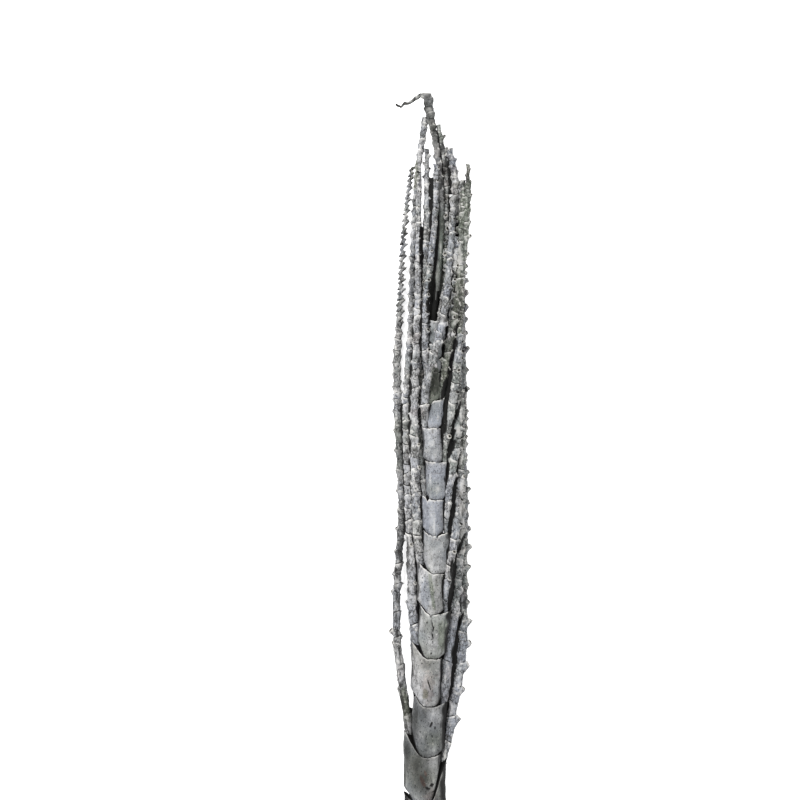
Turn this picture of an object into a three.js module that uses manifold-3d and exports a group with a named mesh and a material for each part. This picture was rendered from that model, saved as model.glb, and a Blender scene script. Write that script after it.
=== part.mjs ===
// A dried buriti palm flower stalk, cut at the foot and lying on a flat surface.
// Y runs from the sawn foot to the withered tip, X across and Z up from the surface. Sizes are millimetres.
// A tapered stalk carries a row of nested tubular sheaths. Out of the mouth of each sheath, on alternate
// sides, comes one long branch, and every branch is a chain of short sheathed joints with a stub on each.
import * as THREE from "three";
import { mergeVertices } from "three/addons/utils/BufferGeometryUtils.js";
import Module from "manifold-3d";

const wasm = await Module();
wasm.setup();

const { clamp, degToRad, lerp, mapLinear, smoothstep } = THREE.MathUtils;

const RIGHT = 1;
const LEFT = -1;

// Clearance kept between pieces that touch, the distance within which points of one shape are welded, and
// the step that the whole is placed by.
const GAP = 0.3;
const WELD = 1e-4;
const PLACE_STEP = 0.05;

// The step at which lines are sampled along Y, and how finely a curve is measured between two of its points.
const STATION = 10;
const CURVE_DETAIL = 8;
const SMOOTHING_PASSES = 3;

// The stalk: distance from the foot, X and Z of its middle, and the radius of its bare core.
const STALK = [
  [0, -11, 21.5, 19.5],
  [60, -11, 21.4, 19.3],
  [120, -11, 22.8, 17.4],
  [160, -9.5, 24, 16],
  [190, -8, 24.6, 14.6],
  [250, -6, 26, 12.6],
  [304, -2.5, 27, 12.6],
  [350, -0.5, 28, 11],
  [400, 0, 28.8, 10.2],
  [442, 0.5, 29.4, 8.5],
  [490, 0.5, 30, 8.3],
  [532, -1, 30.2, 6.1],
  [568, 1, 30.4, 5.3],
  [602, 0.5, 30.5, 4.8],
  [640, 0, 30.5, 4.6],
  [670, -1, 30.3, 4.2],
  [716, 4, 30, 3.9],
  [772, 10, 29.6, 3.8],
  [810, 9, 29.2, 3.7],
  [860, 6, 28.6, 3.5],
  [897, 1, 28, 3.4],
  [916, -4, 27.6, 3.8],
  [936, -7, 27.2, 4.4],
  [951, -9, 27, 3.6],
];
const STALK_SIDES = 12;
const STALK_TWIST = degToRad(15);
const CORE_END = 700;
const TERMINAL_START = 690;
const TERMINAL_LEAD = 20;
const TERMINAL_JOINT = 15;
const TERMINAL_STUB = 2.4;

// The withered tail that hangs off the tip.
const TAIL = [
  [-8, 944, 27],
  [-16, 947, 26],
  [-24, 943, 24.5],
  [-31, 937, 23],
  [-37, 938, 22],
  [-41, 933, 21.5],
  [-45, 934, 22],
  [-47.5, 937, 23],
];
const TAIL_SIDES = 5;
const TAIL_RINGS = 11;
const TAIL_THICK = 2.6;
const TAIL_THIN = 1;

// The sheaths from the foot up: side of their branch, distance of the rim from the foot at the left, in front
// and at the right, and how far the mouth stands off on the branch's side to let the branch out.
const SHEATHS = [
  { side: RIGHT, left: 75, front: 60, right: 120, pocket: 5 },
  { side: LEFT, left: 154, front: 122, right: 126, pocket: 8 },
  { side: RIGHT, left: 201, front: 184, right: 190, pocket: 6 },
  { side: LEFT, left: 266, front: 244, right: 245, pocket: 7 },
  { side: RIGHT, left: 312, front: 299, right: 304, pocket: 8 },
  { side: LEFT, left: 365, front: 350, right: 349, pocket: 7 },
  { side: RIGHT, left: 404, front: 398, right: 402, pocket: 7 },
  { side: LEFT, left: 449, front: 442, right: 441, pocket: 6 },
  { side: RIGHT, left: 490, front: 489, right: 490, pocket: 5 },
  { side: LEFT, left: 532, front: 531, right: 531, pocket: 5 },
  { side: RIGHT, left: 551, front: 565, right: 570, pocket: 5 },
  { side: LEFT, left: 601, front: 602, right: 599, pocket: 4.5 },
  { side: RIGHT, left: 636, front: 636, right: 636, pocket: 4.5 },
  { side: RIGHT, left: 666, front: 665, right: 665, pocket: 3.5 },
];
const WALL_LOW = 1.2;
const WALL_HIGH = 0.9;
const TUCK = 5;
const MOUTH_SLACK = 0.2;
const FLARE_RUN = 30;
const POCKET_FROM = 0.15;
const POCKET_FULL = 0.85;
const POCKET_FOCUS = 1.5;

// The branches, one to a sheath: radius at root and tip, and a route of distance from the foot, X and Z.
const BRANCHES = [
  {
    name: "branch_r1", thick: 5.2, thin: 2.8, rests: true,
    route: [
      [140, 18, 23], [172, 24, 20], [211, 33, 16], [260, 37.5, 12], [329, 38, 8], [404, 39, 5],
      [441, 39.5, 3], [516, 37, 2], [564, 36, 4],
    ],
  },
  {
    name: "branch_l1", thick: 5, thin: 2.4, rests: true,
    route: [
      [172, -34, 23], [248, -45, 20], [291, -47.5, 17], [335, -46, 14], [429, -40, 8], [516, -44, 3],
      [604, -47, 3], [691, -42, 7], [760, -39, 10], [829, -32, 13], [868, -25, 15],
    ],
  },
  {
    name: "branch_r2", thick: 5.2, thin: 2.8,
    route: [
      [204, 14, 26], [254, 18, 24], [301, 26, 22], [348, 31, 20], [404, 34, 17], [485, 36, 14],
      [572, 37.5, 12], [660, 36, 12], [735, 36, 12],
    ],
  },
  {
    name: "branch_l2", thick: 5.8, thin: 2.6,
    route: [
      [279, -25, 26], [316, -27.5, 26], [391, -29, 24], [466, -32.5, 18], [554, -35, 14], [604, -33, 20],
      [641, -29.5, 23], [710, -27.5, 25], [797, -24.5, 25], [862, -19.5, 24], [906, -13.5, 23],
      [926, -11, 23],
    ],
  },
  {
    name: "branch_r3", thick: 5, thin: 2.8,
    route: [
      [319, 13, 28], [361, 19.5, 30], [406, 27.5, 29], [454, 32.5, 27], [510, 35.5, 23], [581, 34, 20],
    ],
  },
  {
    name: "branch_l3", thick: 5.2, thin: 2.6,
    route: [
      [385, -20, 30], [454, -23, 33], [541, -24.5, 34], [604, -23, 34], [679, -20.5, 33], [766, -19.5, 32],
      [856, -18.5, 31],
    ],
  },
  {
    name: "branch_r4", thick: 4.8, thin: 2.7,
    route: [
      [419, 15, 30], [464, 20, 32], [504, 27.5, 32], [547, 31, 30], [610, 30.5, 26], [679, 33, 22],
      [760, 36, 21],
    ],
  },
  {
    name: "branch_l4", thick: 4.8, thin: 2.5,
    route: [
      [469, -16.5, 28], [541, -17.5, 25], [585, -17.5, 24], [666, -14, 26], [710, -10.5, 29], [797, -9, 30],
      [882, -9, 29],
    ],
  },
  {
    name: "branch_r5", thick: 4.8, thin: 2.6,
    route: [
      [506, 13, 31], [544, 19.5, 36], [581, 26, 39], [629, 30, 37], [691, 32.5, 33], [766, 34, 31],
      [806, 34, 30],
    ],
  },
  {
    name: "branch_l5", thick: 4.8, thin: 2.6,
    route: [
      [547, -13, 34], [588, -10, 41], [626, 0.5, 45], [672, 12.5, 45], [722, 18, 44], [772, 21, 42],
      [822, 24, 40],
    ],
  },
  {
    name: "branch_r6", thick: 4.6, thin: 2.3,
    route: [
      [586, 11, 32], [630, 18, 38], [672, 25.5, 43], [716, 32, 44], [760, 37.5, 42], [816, 41, 38],
      [844, 42.5, 36], [858, 42, 35], [868, 44, 34],
    ],
  },
  {
    name: "branch_l6", thick: 4.4, thin: 2.5,
    route: [
      [622, -9, 34], [679, -8, 38], [739, -4, 40], [797, 2, 39], [865, 2.5, 37],
    ],
  },
  {
    name: "branch_r7", thick: 4.2, thin: 2.4,
    route: [
      [652, 11, 31], [698, 15.5, 31], [748, 21, 30], [806, 27, 31], [839, 27.5, 32], [862, 24.5, 32],
      [881, 20, 32],
    ],
  },
  {
    name: "branch_r8", thick: 4, thin: 2.3,
    route: [
      [680, 8, 27], [710, 15, 22], [739, 18, 20], [810, 16, 22], [866, 12.5, 25], [891, 9, 27], [910, 5, 28],
    ],
  },
];
const BRANCH_SIDES = 6;
const ROOT_DEPTH = 16;
const ROOT_TAPER = 0.55;
const ROOT_GROWTH = 34;
const ROOT_LEAD = 8;

// Joints of a branch: longer near the root, and each ends in a flared mouth with its stub.
const JOINT_LOW = 22;
const JOINT_HIGH = 14;
const JOINT_MOUTH = 0.8;
const NECK = 0.9;
const MOUTH = 1.12;
const SHOULDER = 1.24;
const STUB_LOW = 5.5;
const STUB_HIGH = 3.2;
const STUB_LEAN = 1.2;
const STUB_SIZES = [1, 0.7, 0.4];
const STUB_CLEAR = 0.9;
const STUB_THICK = 3.2;

// How the bundle is laid: neighbours that would run into each other are parted in Z and stay true in X.
const LAY_PASSES = 240;
const LAY_MARGIN = 1.1;
const LAY_PUSH = 0.5;
const LAY_HOME = 0.015;
const LAY_STIFF = 0.22;
const HELD_STATIONS = 3;
const FLOOR_CLEAR = 2;
const REST_CUT = 0.4;

// The surface that low points are worn flat against, as a slab to cut with.
const SLAB_LENGTH = 2400;
const SLAB_WIDTH = 400;
const SLAB_DEPTH = 20;

const LOOKS = {
  stalk: { color: 0x7f8c84, roughness: 0.8 },
  sheath: { color: 0xa3a3a5, roughness: 0.75 },
  branch: { color: 0x95938f, roughness: 0.85 },
};

// The value of one column of a list of rows at distance y, straight between rows and held past the ends.
function along(rows, column, y) {
  const next = rows.findIndex((row) => row[0] >= y);
  if (next === 0) {
    return rows[0][column];
  }
  if (next < 0) {
    return rows.at(-1)[column];
  }
  const [before, after] = [rows[next - 1], rows[next]];
  return mapLinear(y, before[0], after[0], before[column], after[column]);
}

// A list of values with its corners rounded off; both ends stay.
function smoothed(values) {
  let list = values;
  for (let pass = 0; pass < SMOOTHING_PASSES; pass++) {
    list = list.map((value, i) =>
      i === 0 || i === list.length - 1 ? value : (list[i - 1] + 2 * value + list[i + 1]) / 4,
    );
  }
  return list;
}

// A line sampled at each station: first station number, X, Z and radius.
function sampled(rows) {
  const first = Math.ceil(rows[0][0] / STATION);
  const last = Math.floor(rows.at(-1)[0] / STATION);
  const stations = Array.from({ length: last - first + 1 }, (_, i) => (first + i) * STATION);
  const column = (number) => smoothed(stations.map((y) => along(rows, number, y)));
  return { first, x: column(1), z: column(2), radius: column(3) };
}

// Reads one list of a sampled line at any distance from the foot.
function read(line, list, y) {
  const place = clamp(y / STATION - line.first, 0, line[list].length - 1);
  const before = Math.min(Math.floor(place), line[list].length - 2);
  return lerp(line[list][before], line[list][before + 1], place - before);
}

// The stalk stays straight between its rows, so that core and sheaths nest exactly.
function stalkPoint(y) {
  return new THREE.Vector3(along(STALK, 1, y), y, along(STALK, 2, y));
}

function coreRadius(y) {
  return along(STALK, 3, y);
}

// Distance from the foot of a sheath's rim at an angle round the stalk, 0 at the right and 90 in front.
function rimHeight(sheath, angle) {
  const across = Math.cos(angle);
  const side = across > 0 ? sheath.right : sheath.left;
  return lerp(sheath.front, side, across * across);
}

function sheathWall(index) {
  return lerp(WALL_LOW, WALL_HIGH, index / (SHEATHS.length - 1));
}

// A sheath starts a little below the rim that it comes out of; the first one starts at the sawn foot.
function baseHeight(index, angle) {
  return index === 0 ? 0 : rimHeight(SHEATHS[index - 1], angle) - TUCK;
}

// Where a sheath has come clear of the rim below it.
function emergeHeight(index, angle) {
  return index === 0 ? TUCK : rimHeight(SHEATHS[index - 1], angle) + 1;
}

// Inner radius of a sheath: tight on the core where it sits in the sheath below, wider towards its mouth.
function sheathInner(index, y, angle) {
  const sheath = SHEATHS[index];
  const rim = rimHeight(sheath, angle);
  const wide = Math.min(emergeHeight(index, angle) + FLARE_RUN, rim - TUCK);
  const tight = Math.min(emergeHeight(index, angle), wide - TUCK);
  const flare = index === 0 ? 1 : smoothstep(y, tight, wide);
  const facing = Math.max(0, Math.cos(angle) * sheath.side);
  const base = baseHeight(index, angle);
  const rise = smoothstep(y, lerp(base, rim, POCKET_FROM), lerp(base, rim, POCKET_FULL));
  const step = GAP + sheathWall(index) + MOUTH_SLACK;
  return coreRadius(y) + GAP + flare * step + sheath.pocket * rise * facing ** POCKET_FOCUS;
}

// Turns a closed three.js shape into a solid.
function solidOf(shape) {
  shape.deleteAttribute("normal");
  shape.deleteAttribute("uv");
  const merged = mergeVertices(shape, WELD);
  return new wasm.Manifold(
    new wasm.Mesh({
      numProp: 3,
      vertProperties: merged.getAttribute("position").array,
      triVerts: new Uint32Array(merged.index.array),
    }),
  );
}

function geometryOf(solid) {
  const { vertProperties, triVerts } = solid.getMesh();
  const geometry = new THREE.BufferGeometry();
  geometry.setAttribute("position", new THREE.BufferAttribute(vertProperties, 3));
  geometry.setIndex(new THREE.BufferAttribute(triVerts, 1));
  geometry.computeVertexNormals();
  return geometry;
}

// The largest body of a solid that a cut has parted.
function largest(solid) {
  return solid.decompose().reduce((best, body) => (body.volume() > best.volume() ? body : best));
}

const slab = solidOf(
  new THREE.BoxGeometry(SLAB_WIDTH, SLAB_LENGTH, SLAB_DEPTH).translate(0, 0, -SLAB_DEPTH / 2),
);

// One nested sheath: a tube with an oblique rim. Grown by a clearance, it is the tool that trims a branch.
function sheathSolid(index, grow = 0) {
  const OUTER = 2;
  const INNER = 1;
  const levels = [0, 1, 2, 3];
  const outer = levels.map((level) => new THREE.Vector2(OUTER, level));
  const inner = levels.map((level) => new THREE.Vector2(INNER, level)).reverse();
  const profile = [...outer, ...inner, outer[0]];
  const shape = new THREE.LatheGeometry(profile, STALK_SIDES);
  const place = shape.getAttribute("position");
  for (let i = 0; i < place.count; i++) {
    const outside = Math.hypot(place.getX(i), place.getZ(i)) > (OUTER + INNER) / 2;
    const angle = Math.atan2(place.getZ(i), place.getX(i)) + STALK_TWIST;
    const rim = rimHeight(SHEATHS[index], angle) + grow;
    const emerge = emergeHeight(index, angle);
    const y = [baseHeight(index, angle) - grow, emerge, lerp(emerge, rim, 0.5), rim][place.getY(i)];
    const bore = sheathInner(index, y, angle);
    const radius = outside ? bore + sheathWall(index) + grow : bore - grow;
    const middle = stalkPoint(y);
    place.setXYZ(i, middle.x + radius * Math.cos(angle), y, middle.z + radius * Math.sin(angle));
  }
  return solidOf(shape);
}

// How much further out than its ring's own radius a corner stands, and how far it leans along the tube.
function cornerBump(ring, corner, sides) {
  if (!ring.stub) {
    return { out: 0, lean: 0 };
  }
  const apart = (corner - ring.stub.corner + sides) % sides;
  if (apart === 0) {
    return { out: ring.stub.reach, lean: STUB_LEAN };
  }
  const beside = apart === 1 || apart === sides - 1;
  return { out: beside ? ring.radius * (SHOULDER / MOUTH - 1) : 0, lean: 0 };
}

// A closed tube through a list of rings. A ring has a middle, a direction, a radius, a twist and maybe one
// stub, which is a corner that stands out.
function tube(rings, sides) {
  const shape = new THREE.CylinderGeometry(1, 1, 1, sides, rings.length - 1);
  const place = shape.getAttribute("position");
  const step = (2 * Math.PI) / sides;
  for (let i = 0; i < place.count; i++) {
    const [x, height, z] = [place.getX(i), place.getY(i), place.getZ(i)];
    const ring = rings[Math.round((height + 0.5) * (rings.length - 1))];
    const point = ring.middle.clone();
    if (Math.hypot(x, z) > 0.5) {
      const corner = (2 * sides - Math.round((Math.PI / 2 - Math.atan2(z, x)) / step)) % sides;
      const { out, lean } = cornerBump(ring, corner, sides);
      const angle = corner * step + ring.twist;
      const across = new THREE.Vector3(0, 0, 1).cross(ring.direction).negate().normalize();
      const up = new THREE.Vector3().crossVectors(across, ring.direction);
      point.addScaledVector(across, (ring.radius + out) * Math.cos(angle));
      point.addScaledVector(up, (ring.radius + out) * Math.sin(angle));
      point.addScaledVector(ring.direction, lean);
    }
    place.setXYZ(i, point.x, point.y, point.z);
  }
  return solidOf(shape);
}

// Where a branch starts, deep in its sheath's pocket, and where it comes out over the rim.
function rootRows(index) {
  const sheath = SHEATHS[index];
  const angle = sheath.side === RIGHT ? 0 : Math.PI;
  const rim = rimHeight(sheath, angle);
  return [rim - ROOT_DEPTH, rim].map((y) => {
    const inner = sheathInner(index, y, angle);
    const room = (coreRadius(y) + sheathWall(index) + inner) / 2;
    return [y, stalkPoint(y).x + sheath.side * room, stalkPoint(y).z];
  });
}

// A branch's line before the bundle is laid.
function branchLine(branch, index) {
  const rows = [...rootRows(index), ...branch.route];
  const start = rows[0][0];
  const end = rows.at(-1)[0];
  const radius = (y) => {
    const grown = lerp(ROOT_TAPER, 1, smoothstep(y, start, start + ROOT_GROWTH));
    return grown * mapLinear(y, start, end, branch.thick, branch.thin);
  };
  return sampled(rows.map((row) => [...row, radius(row[0])]));
}

// How far the stalk and its sheaths reach towards one side.
function stalkReach(y, side) {
  const index = SHEATHS.findIndex((sheath) => y <= rimHeight(sheath, side > 0 ? 0 : Math.PI));
  if (index < 0) {
    return coreRadius(y);
  }
  return sheathInner(index, y, side > 0 ? 0 : Math.PI) + sheathWall(index);
}

// How much further two round sections must part in Z, given how far apart they are in X.
function shortfall(apartX, apartZ, reach) {
  const needed = Math.sqrt(Math.max(0, reach * reach - apartX * apartX));
  return Math.max(0, needed - apartZ);
}

// How far one branch must move off its neighbours and off the stalk at one of its stations.
function pushAt(lines, home, own, i) {
  const line = lines[own];
  const station = line.first + i;
  const radius = MOUTH * line.radius[i];
  let push = 0;
  lines.forEach((other, index) => {
    const j = station - other.first;
    if (index === own || j < 0 || j >= other.x.length) {
      return;
    }
    const order = Math.sign(home[own][i] - home[index][j]) || Math.sign(own - index);
    const apart = (line.z[i] - other.z[j]) * order;
    const reach = radius + MOUTH * other.radius[j] + LAY_MARGIN;
    push += (order * shortfall(line.x[i] - other.x[j], apart, reach)) / 2;
  });
  const middle = stalkPoint(station * STATION);
  const apartX = line.x[i] - middle.x;
  const order = Math.sign(home[own][i] - middle.z) || 1;
  const reach = stalkReach(station * STATION, apartX) + radius + LAY_MARGIN / 2;
  return push + order * shortfall(apartX, (line.z[i] - middle.z) * order, reach);
}

// Parts the branches in Z until none runs into another, into the stalk or into the surface below.
function layBundle(lines) {
  const home = lines.map((line) => [...line.z]);
  for (let pass = 0; pass < LAY_PASSES; pass++) {
    const pushes = lines.map((line, own) => line.z.map((_, i) => pushAt(lines, home, own, i)));
    lines.forEach((line, own) => {
      const before = [...line.z];
      for (let i = HELD_STATIONS; i < before.length; i++) {
        const next = before[Math.min(i + 1, before.length - 1)];
        const bend = before[i - 1] + next - 2 * before[i];
        const back = home[own][i] - before[i];
        const moved = before[i] + LAY_PUSH * pushes[own][i] + LAY_HOME * back + LAY_STIFF * bend;
        const floor = line.radius[i] + (line.rests ? -REST_CUT : FLOOR_CLEAR);
        line.z[i] = Math.max(moved, floor);
      }
    });
  }
}

// A smooth curve through a laid line.
function curveOf(line) {
  const points = line.x.map((x, i) => new THREE.Vector3(x, (line.first + i) * STATION, line.z[i]));
  const curve = new THREE.CatmullRomCurve3(points, false, "centripetal");
  curve.arcLengthDivisions = points.length * CURVE_DETAIL;
  return curve;
}

// Whether a stub's tip stays clear of every other branch, of the stalk and of the stubs already placed.
function isClear(stub, own, lines, stubs) {
  const tip = stub.end;
  const free = lines.every((line, index) => {
    const inside = tip.y >= line.first * STATION && tip.y <= (line.first + line.x.length - 1) * STATION;
    if (index === own || !inside) {
      return true;
    }
    const away = Math.hypot(tip.x - read(line, "x", tip.y), tip.z - read(line, "z", tip.y));
    return away > read(line, "radius", tip.y) * SHOULDER + STUB_CLEAR;
  });
  const middle = stalkPoint(tip.y);
  const fromStalk = Math.hypot(tip.x - middle.x, tip.z - middle.z);
  const offStalk = own < 0 || fromStalk > stalkReach(tip.y, tip.x - middle.x) + STUB_CLEAR;
  const offFloor = tip.z > FLOOR_CLEAR;
  const closest = new THREE.Vector3();
  const nearest = new THREE.Vector3();
  const offStubs = stubs.every(({ owner, axis }) => {
    axis.closestPointToPoint(tip, true, closest);
    stub.closestPointToPoint(axis.end, true, nearest);
    const apart = Math.min(closest.distanceTo(tip), nearest.distanceTo(axis.end));
    return owner === own || apart > STUB_THICK;
  });
  return free && offStalk && offFloor && offStubs;
}

// The stub of one joint: its own side if that is clear, else the next corner round, and shorter if none is.
function placeStub(ring, wanted, reach, own, lines, stubs) {
  const turns = [0, 1, -1, 2, -2];
  const step = (2 * Math.PI) / BRANCH_SIDES;
  for (const size of STUB_SIZES) {
    for (const turn of turns) {
      const corner = (wanted + turn + BRANCH_SIDES) % BRANCH_SIDES;
      const angle = corner * step + ring.twist;
      const out = ring.radius + reach * size;
      const tip = ring.middle.clone().addScaledVector(ring.direction, STUB_LEAN);
      tip.x += out * Math.cos(angle);
      tip.z += out * Math.sin(angle);
      const stub = new THREE.Line3(ring.middle.clone(), tip);
      if (isClear(stub, own, lines, stubs)) {
        stubs.push({ owner: own, axis: stub });
        return { corner, reach: reach * size, lean: STUB_LEAN };
      }
    }
  }
  return null;
}

// Where the joints of a branch start, and how long each one is.
function jointsAlong(length, joints) {
  const list = [];
  let start = joints.start;
  let size = joints.low;
  while (start + size <= length) {
    list.push({ start, size });
    start += size;
    size = lerp(joints.low, joints.high, start / length);
  }
  return list;
}

// The rings of a branch: a plain root, then a neck and a flared mouth for each joint.
function branchRings(line, own, lines, stubs, joints) {
  const curve = curveOf(line);
  const length = curve.getLength();
  const ringAt = (distance, scale) => {
    const share = clamp(distance / length, 0, 1);
    const middle = curve.getPointAt(share);
    const radius = scale * read(line, "radius", middle.y);
    return { middle, direction: curve.getTangentAt(share), radius, twist: 0 };
  };
  const rings = [ringAt(0, 1), ringAt(joints.start / 2, 1)];
  jointsAlong(length, joints).forEach(({ start, size }, number) => {
    const mouth = ringAt(start + size * JOINT_MOUTH, MOUTH);
    const wanted = number % 2 === 0 ? 0 : BRANCH_SIDES / 2;
    const reach = lerp(joints.stubLow, joints.stubHigh, start / length);
    mouth.stub = placeStub(mouth, wanted, reach, own, lines, stubs);
    rings.push(ringAt(start, NECK), mouth);
  });
  return [...rings, ringAt(length - 1, NECK), ringAt(length, ROOT_TAPER)];
}

// The stalk's bare core inside the sheaths, or the same grown by a clearance.
function coreSolid(grow = 0) {
  const heights = [...STALK.map((row) => row[0]).filter((y) => y < CORE_END), CORE_END];
  const rings = heights.map((y) => ({
    middle: stalkPoint(y),
    direction: new THREE.Vector3(0, 1, 0),
    radius: coreRadius(y) + grow,
    twist: STALK_TWIST,
  }));
  return tube(rings, STALK_SIDES);
}

// The stalk's end beyond the last sheath, jointed like a branch.
function terminalSolid(lines, stubs) {
  const start = [TERMINAL_START, ...[1, 2, 3].map((column) => along(STALK, column, TERMINAL_START))];
  const line = sampled([start, ...STALK.filter((row) => row[0] > TERMINAL_START)]);
  const joints = {
    start: TERMINAL_LEAD,
    low: TERMINAL_JOINT,
    high: TERMINAL_JOINT,
    stubLow: TERMINAL_STUB,
    stubHigh: TERMINAL_STUB,
  };
  return tube(branchRings(line, -1, lines, stubs, joints), BRANCH_SIDES);
}

function tailSolid() {
  const curve = new THREE.CatmullRomCurve3(TAIL.map((point) => new THREE.Vector3(...point)));
  const ringAt = (_, number) => {
    const share = number / (TAIL_RINGS - 1);
    const radius = lerp(TAIL_THICK, TAIL_THIN, share);
    return { middle: curve.getPointAt(share), direction: curve.getTangentAt(share), radius, twist: 0 };
  };
  return tube(Array.from({ length: TAIL_RINGS }, ringAt), TAIL_SIDES);
}

// One branch with its stubs, cut clear of the stalk and the sheaths and worn flat where it rests.
function branchSolid(index, lines, stubs, trimmers) {
  const joints = {
    start: ROOT_DEPTH + ROOT_LEAD,
    low: JOINT_LOW,
    high: JOINT_HIGH,
    stubLow: STUB_LOW,
    stubHigh: STUB_HIGH,
  };
  const whole = tube(branchRings(lines[index], index, lines, stubs, joints), BRANCH_SIDES).subtract(slab);
  return trimmers.reduce(
    (solid, trimmer) => (solid.intersect(trimmer).volume() > 0 ? largest(solid.subtract(trimmer)) : solid),
    whole,
  );
}

function meshOf(name, solid, look) {
  const mesh = new THREE.Mesh(geometryOf(solid), new THREE.MeshStandardMaterial({ ...look, metalness: 0 }));
  mesh.name = name;
  return mesh;
}

const lines = BRANCHES.map((branch, index) => {
  return { ...branchLine(branch, index), rests: branch.rests === true };
});
layBundle(lines);

const frond = new THREE.Group();
const stubs = [];
const stalk = coreSolid().add(terminalSolid(lines, stubs)).add(tailSolid());
frond.add(meshOf("stalk", stalk, LOOKS.stalk));

SHEATHS.forEach((_, index) => {
  const name = "sheath_" + String(index + 1).padStart(2, "0");
  frond.add(meshOf(name, sheathSolid(index).subtract(slab), LOOKS.sheath));
});

const trimmers = [coreSolid(GAP), ...SHEATHS.map((_, index) => sheathSolid(index, GAP))];
BRANCHES.forEach(({ name }, index) => {
  frond.add(meshOf(name, branchSolid(index, lines, stubs, trimmers), LOOKS.branch));
});

// The origin lies on the surface, under the middle of the whole.
const middle = new THREE.Box3().setFromObject(frond).getCenter(new THREE.Vector3());
const toPlace = (value) => -Math.round(value / PLACE_STEP) * PLACE_STEP;
frond.position.set(toPlace(middle.x), toPlace(middle.y), 0);

export default frond;
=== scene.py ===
"""A dried buriti palm flower branch, weathered silver grey, lying on a white table and seen from above.

The frame holds its construction: a tapered stalk, a row of nested sheaths and long jointed branches. This
scene lays the same lines again, in millimetres from the sawn foot, and gives them their true joints, stubs,
torn lips and weathered skins. A station is a distance from that foot. A mesh is turned to metres and put
in the frame as it is made.
"""

import logging
import math
from dataclasses import dataclass, field, replace
from enum import Enum
from typing import Sequence

import bpy
import numpy as np
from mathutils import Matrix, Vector


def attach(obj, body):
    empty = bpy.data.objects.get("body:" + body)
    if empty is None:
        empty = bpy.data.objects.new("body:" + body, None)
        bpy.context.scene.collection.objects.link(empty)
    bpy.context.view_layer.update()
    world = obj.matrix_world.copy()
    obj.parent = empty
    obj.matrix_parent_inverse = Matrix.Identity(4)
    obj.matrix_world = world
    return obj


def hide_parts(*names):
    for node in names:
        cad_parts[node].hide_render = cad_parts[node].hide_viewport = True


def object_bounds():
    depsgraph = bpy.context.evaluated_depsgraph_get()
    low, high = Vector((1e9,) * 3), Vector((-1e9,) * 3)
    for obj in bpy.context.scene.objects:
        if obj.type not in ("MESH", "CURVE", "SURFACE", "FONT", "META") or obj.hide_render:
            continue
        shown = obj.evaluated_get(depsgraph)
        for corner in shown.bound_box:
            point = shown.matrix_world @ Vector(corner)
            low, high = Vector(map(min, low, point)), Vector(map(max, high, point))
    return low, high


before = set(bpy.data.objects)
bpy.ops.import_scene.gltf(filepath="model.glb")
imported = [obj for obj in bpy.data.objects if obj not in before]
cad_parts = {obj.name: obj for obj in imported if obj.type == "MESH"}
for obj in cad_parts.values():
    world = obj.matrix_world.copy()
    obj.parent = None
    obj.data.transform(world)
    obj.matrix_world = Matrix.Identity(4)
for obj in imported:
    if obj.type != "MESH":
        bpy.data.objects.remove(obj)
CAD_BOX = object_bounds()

LOG = logging.getLogger("palm_branch")
MM = 0.001
FAR = 1000.0
Array = np.ndarray
Socket = bpy.types.NodeSocket
Object = bpy.types.Object

# The step at which every line is laid, as in the frame, and how often its corners are rounded off.
STATION = 10.0
SMOOTHING_PASSES = 3

# The stalk: distance from the foot, X and Z of its middle, and the radius of its bare core, in millimetres.
STALK = (
    (0, -11, 21.5, 19.5), (60, -11, 21.4, 19.3), (120, -11, 22.8, 17.4), (160, -9.5, 24, 16),
    (190, -8, 24.6, 14.6), (250, -6, 26, 12.6), (304, -2.5, 27, 12.6), (350, -0.5, 28, 11),
    (400, 0, 28.8, 10.2), (442, 0.5, 29.4, 8.5), (490, 0.5, 30, 8.3), (532, -1, 30.2, 6.1),
    (568, 1, 30.4, 5.3), (602, 0.5, 30.5, 4.8), (640, 0, 30.5, 4.6), (670, -1, 30.3, 4.2),
    (716, 4, 30, 3.9), (772, 10, 29.6, 3.8), (810, 9, 29.2, 3.7), (860, 6, 28.6, 3.5), (897, 1, 28, 3.4),
    (916, -4, 27.6, 3.8), (936, -7, 27.2, 4.4), (951, -9, 27, 3.6),
)
TERMINAL_START = 690.0

# The withered tail that hangs off the tip.
TAIL = (
    (-8, 944, 27), (-16, 947, 26), (-24, 943, 24.5), (-31, 937, 23), (-37, 938, 22), (-41, 933, 21.5),
    (-45, 934, 22), (-47.5, 937, 23),
)

# What the frame's sheaths are made to: clearances, walls and how a mouth opens round its branch.
GAP = 0.3
WALL_LOW = 1.2
WALL_HIGH = 0.9
TUCK = 5.0
MOUTH_SLACK = 0.2
FLARE_RUN = 30.0
POCKET_FROM = 0.15
POCKET_FULL = 0.85
POCKET_FOCUS = 1.5

# How the frame lays the bundle: neighbours are parted in Z until none runs into another.
ROOT_DEPTH = 16.0
ROOT_TAPER = 0.55
ROOT_GROWTH = 34.0
MOUTH = 1.12
LAY_PASSES = 240
LAY_MARGIN = 1.1
LAY_PUSH = 0.5
LAY_HOME = 0.015
LAY_STIFF = 0.22
HELD_STATIONS = 3
FLOOR_CLEAR = 2.0
REST_CUT = 0.4


class Side(Enum):
    """The side of the stalk that a branch leaves on."""

    LEFT = -1
    RIGHT = 1

    @property
    def angle(self) -> Array:
        """The side's angle round the stalk, in radians."""
        return np.array(0.0 if self is Side.RIGHT else math.pi)


class CutEnd(Enum):
    """What the broken end of a stub shows: pale and grey ends are its own colour, and the dark end is painted
    shade.
    """

    PALE = 1.0
    GREY = 0.45
    DARK = 0.0


def smoothstep(value: Array | float, low: Array | float, high: Array | float) -> Array:
    """Rise smoothly from 0 at low to 1 at high."""
    share = np.clip((value - low) / (high - low), 0.0, 1.0)
    return share * share * (3.0 - 2.0 * share)


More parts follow.
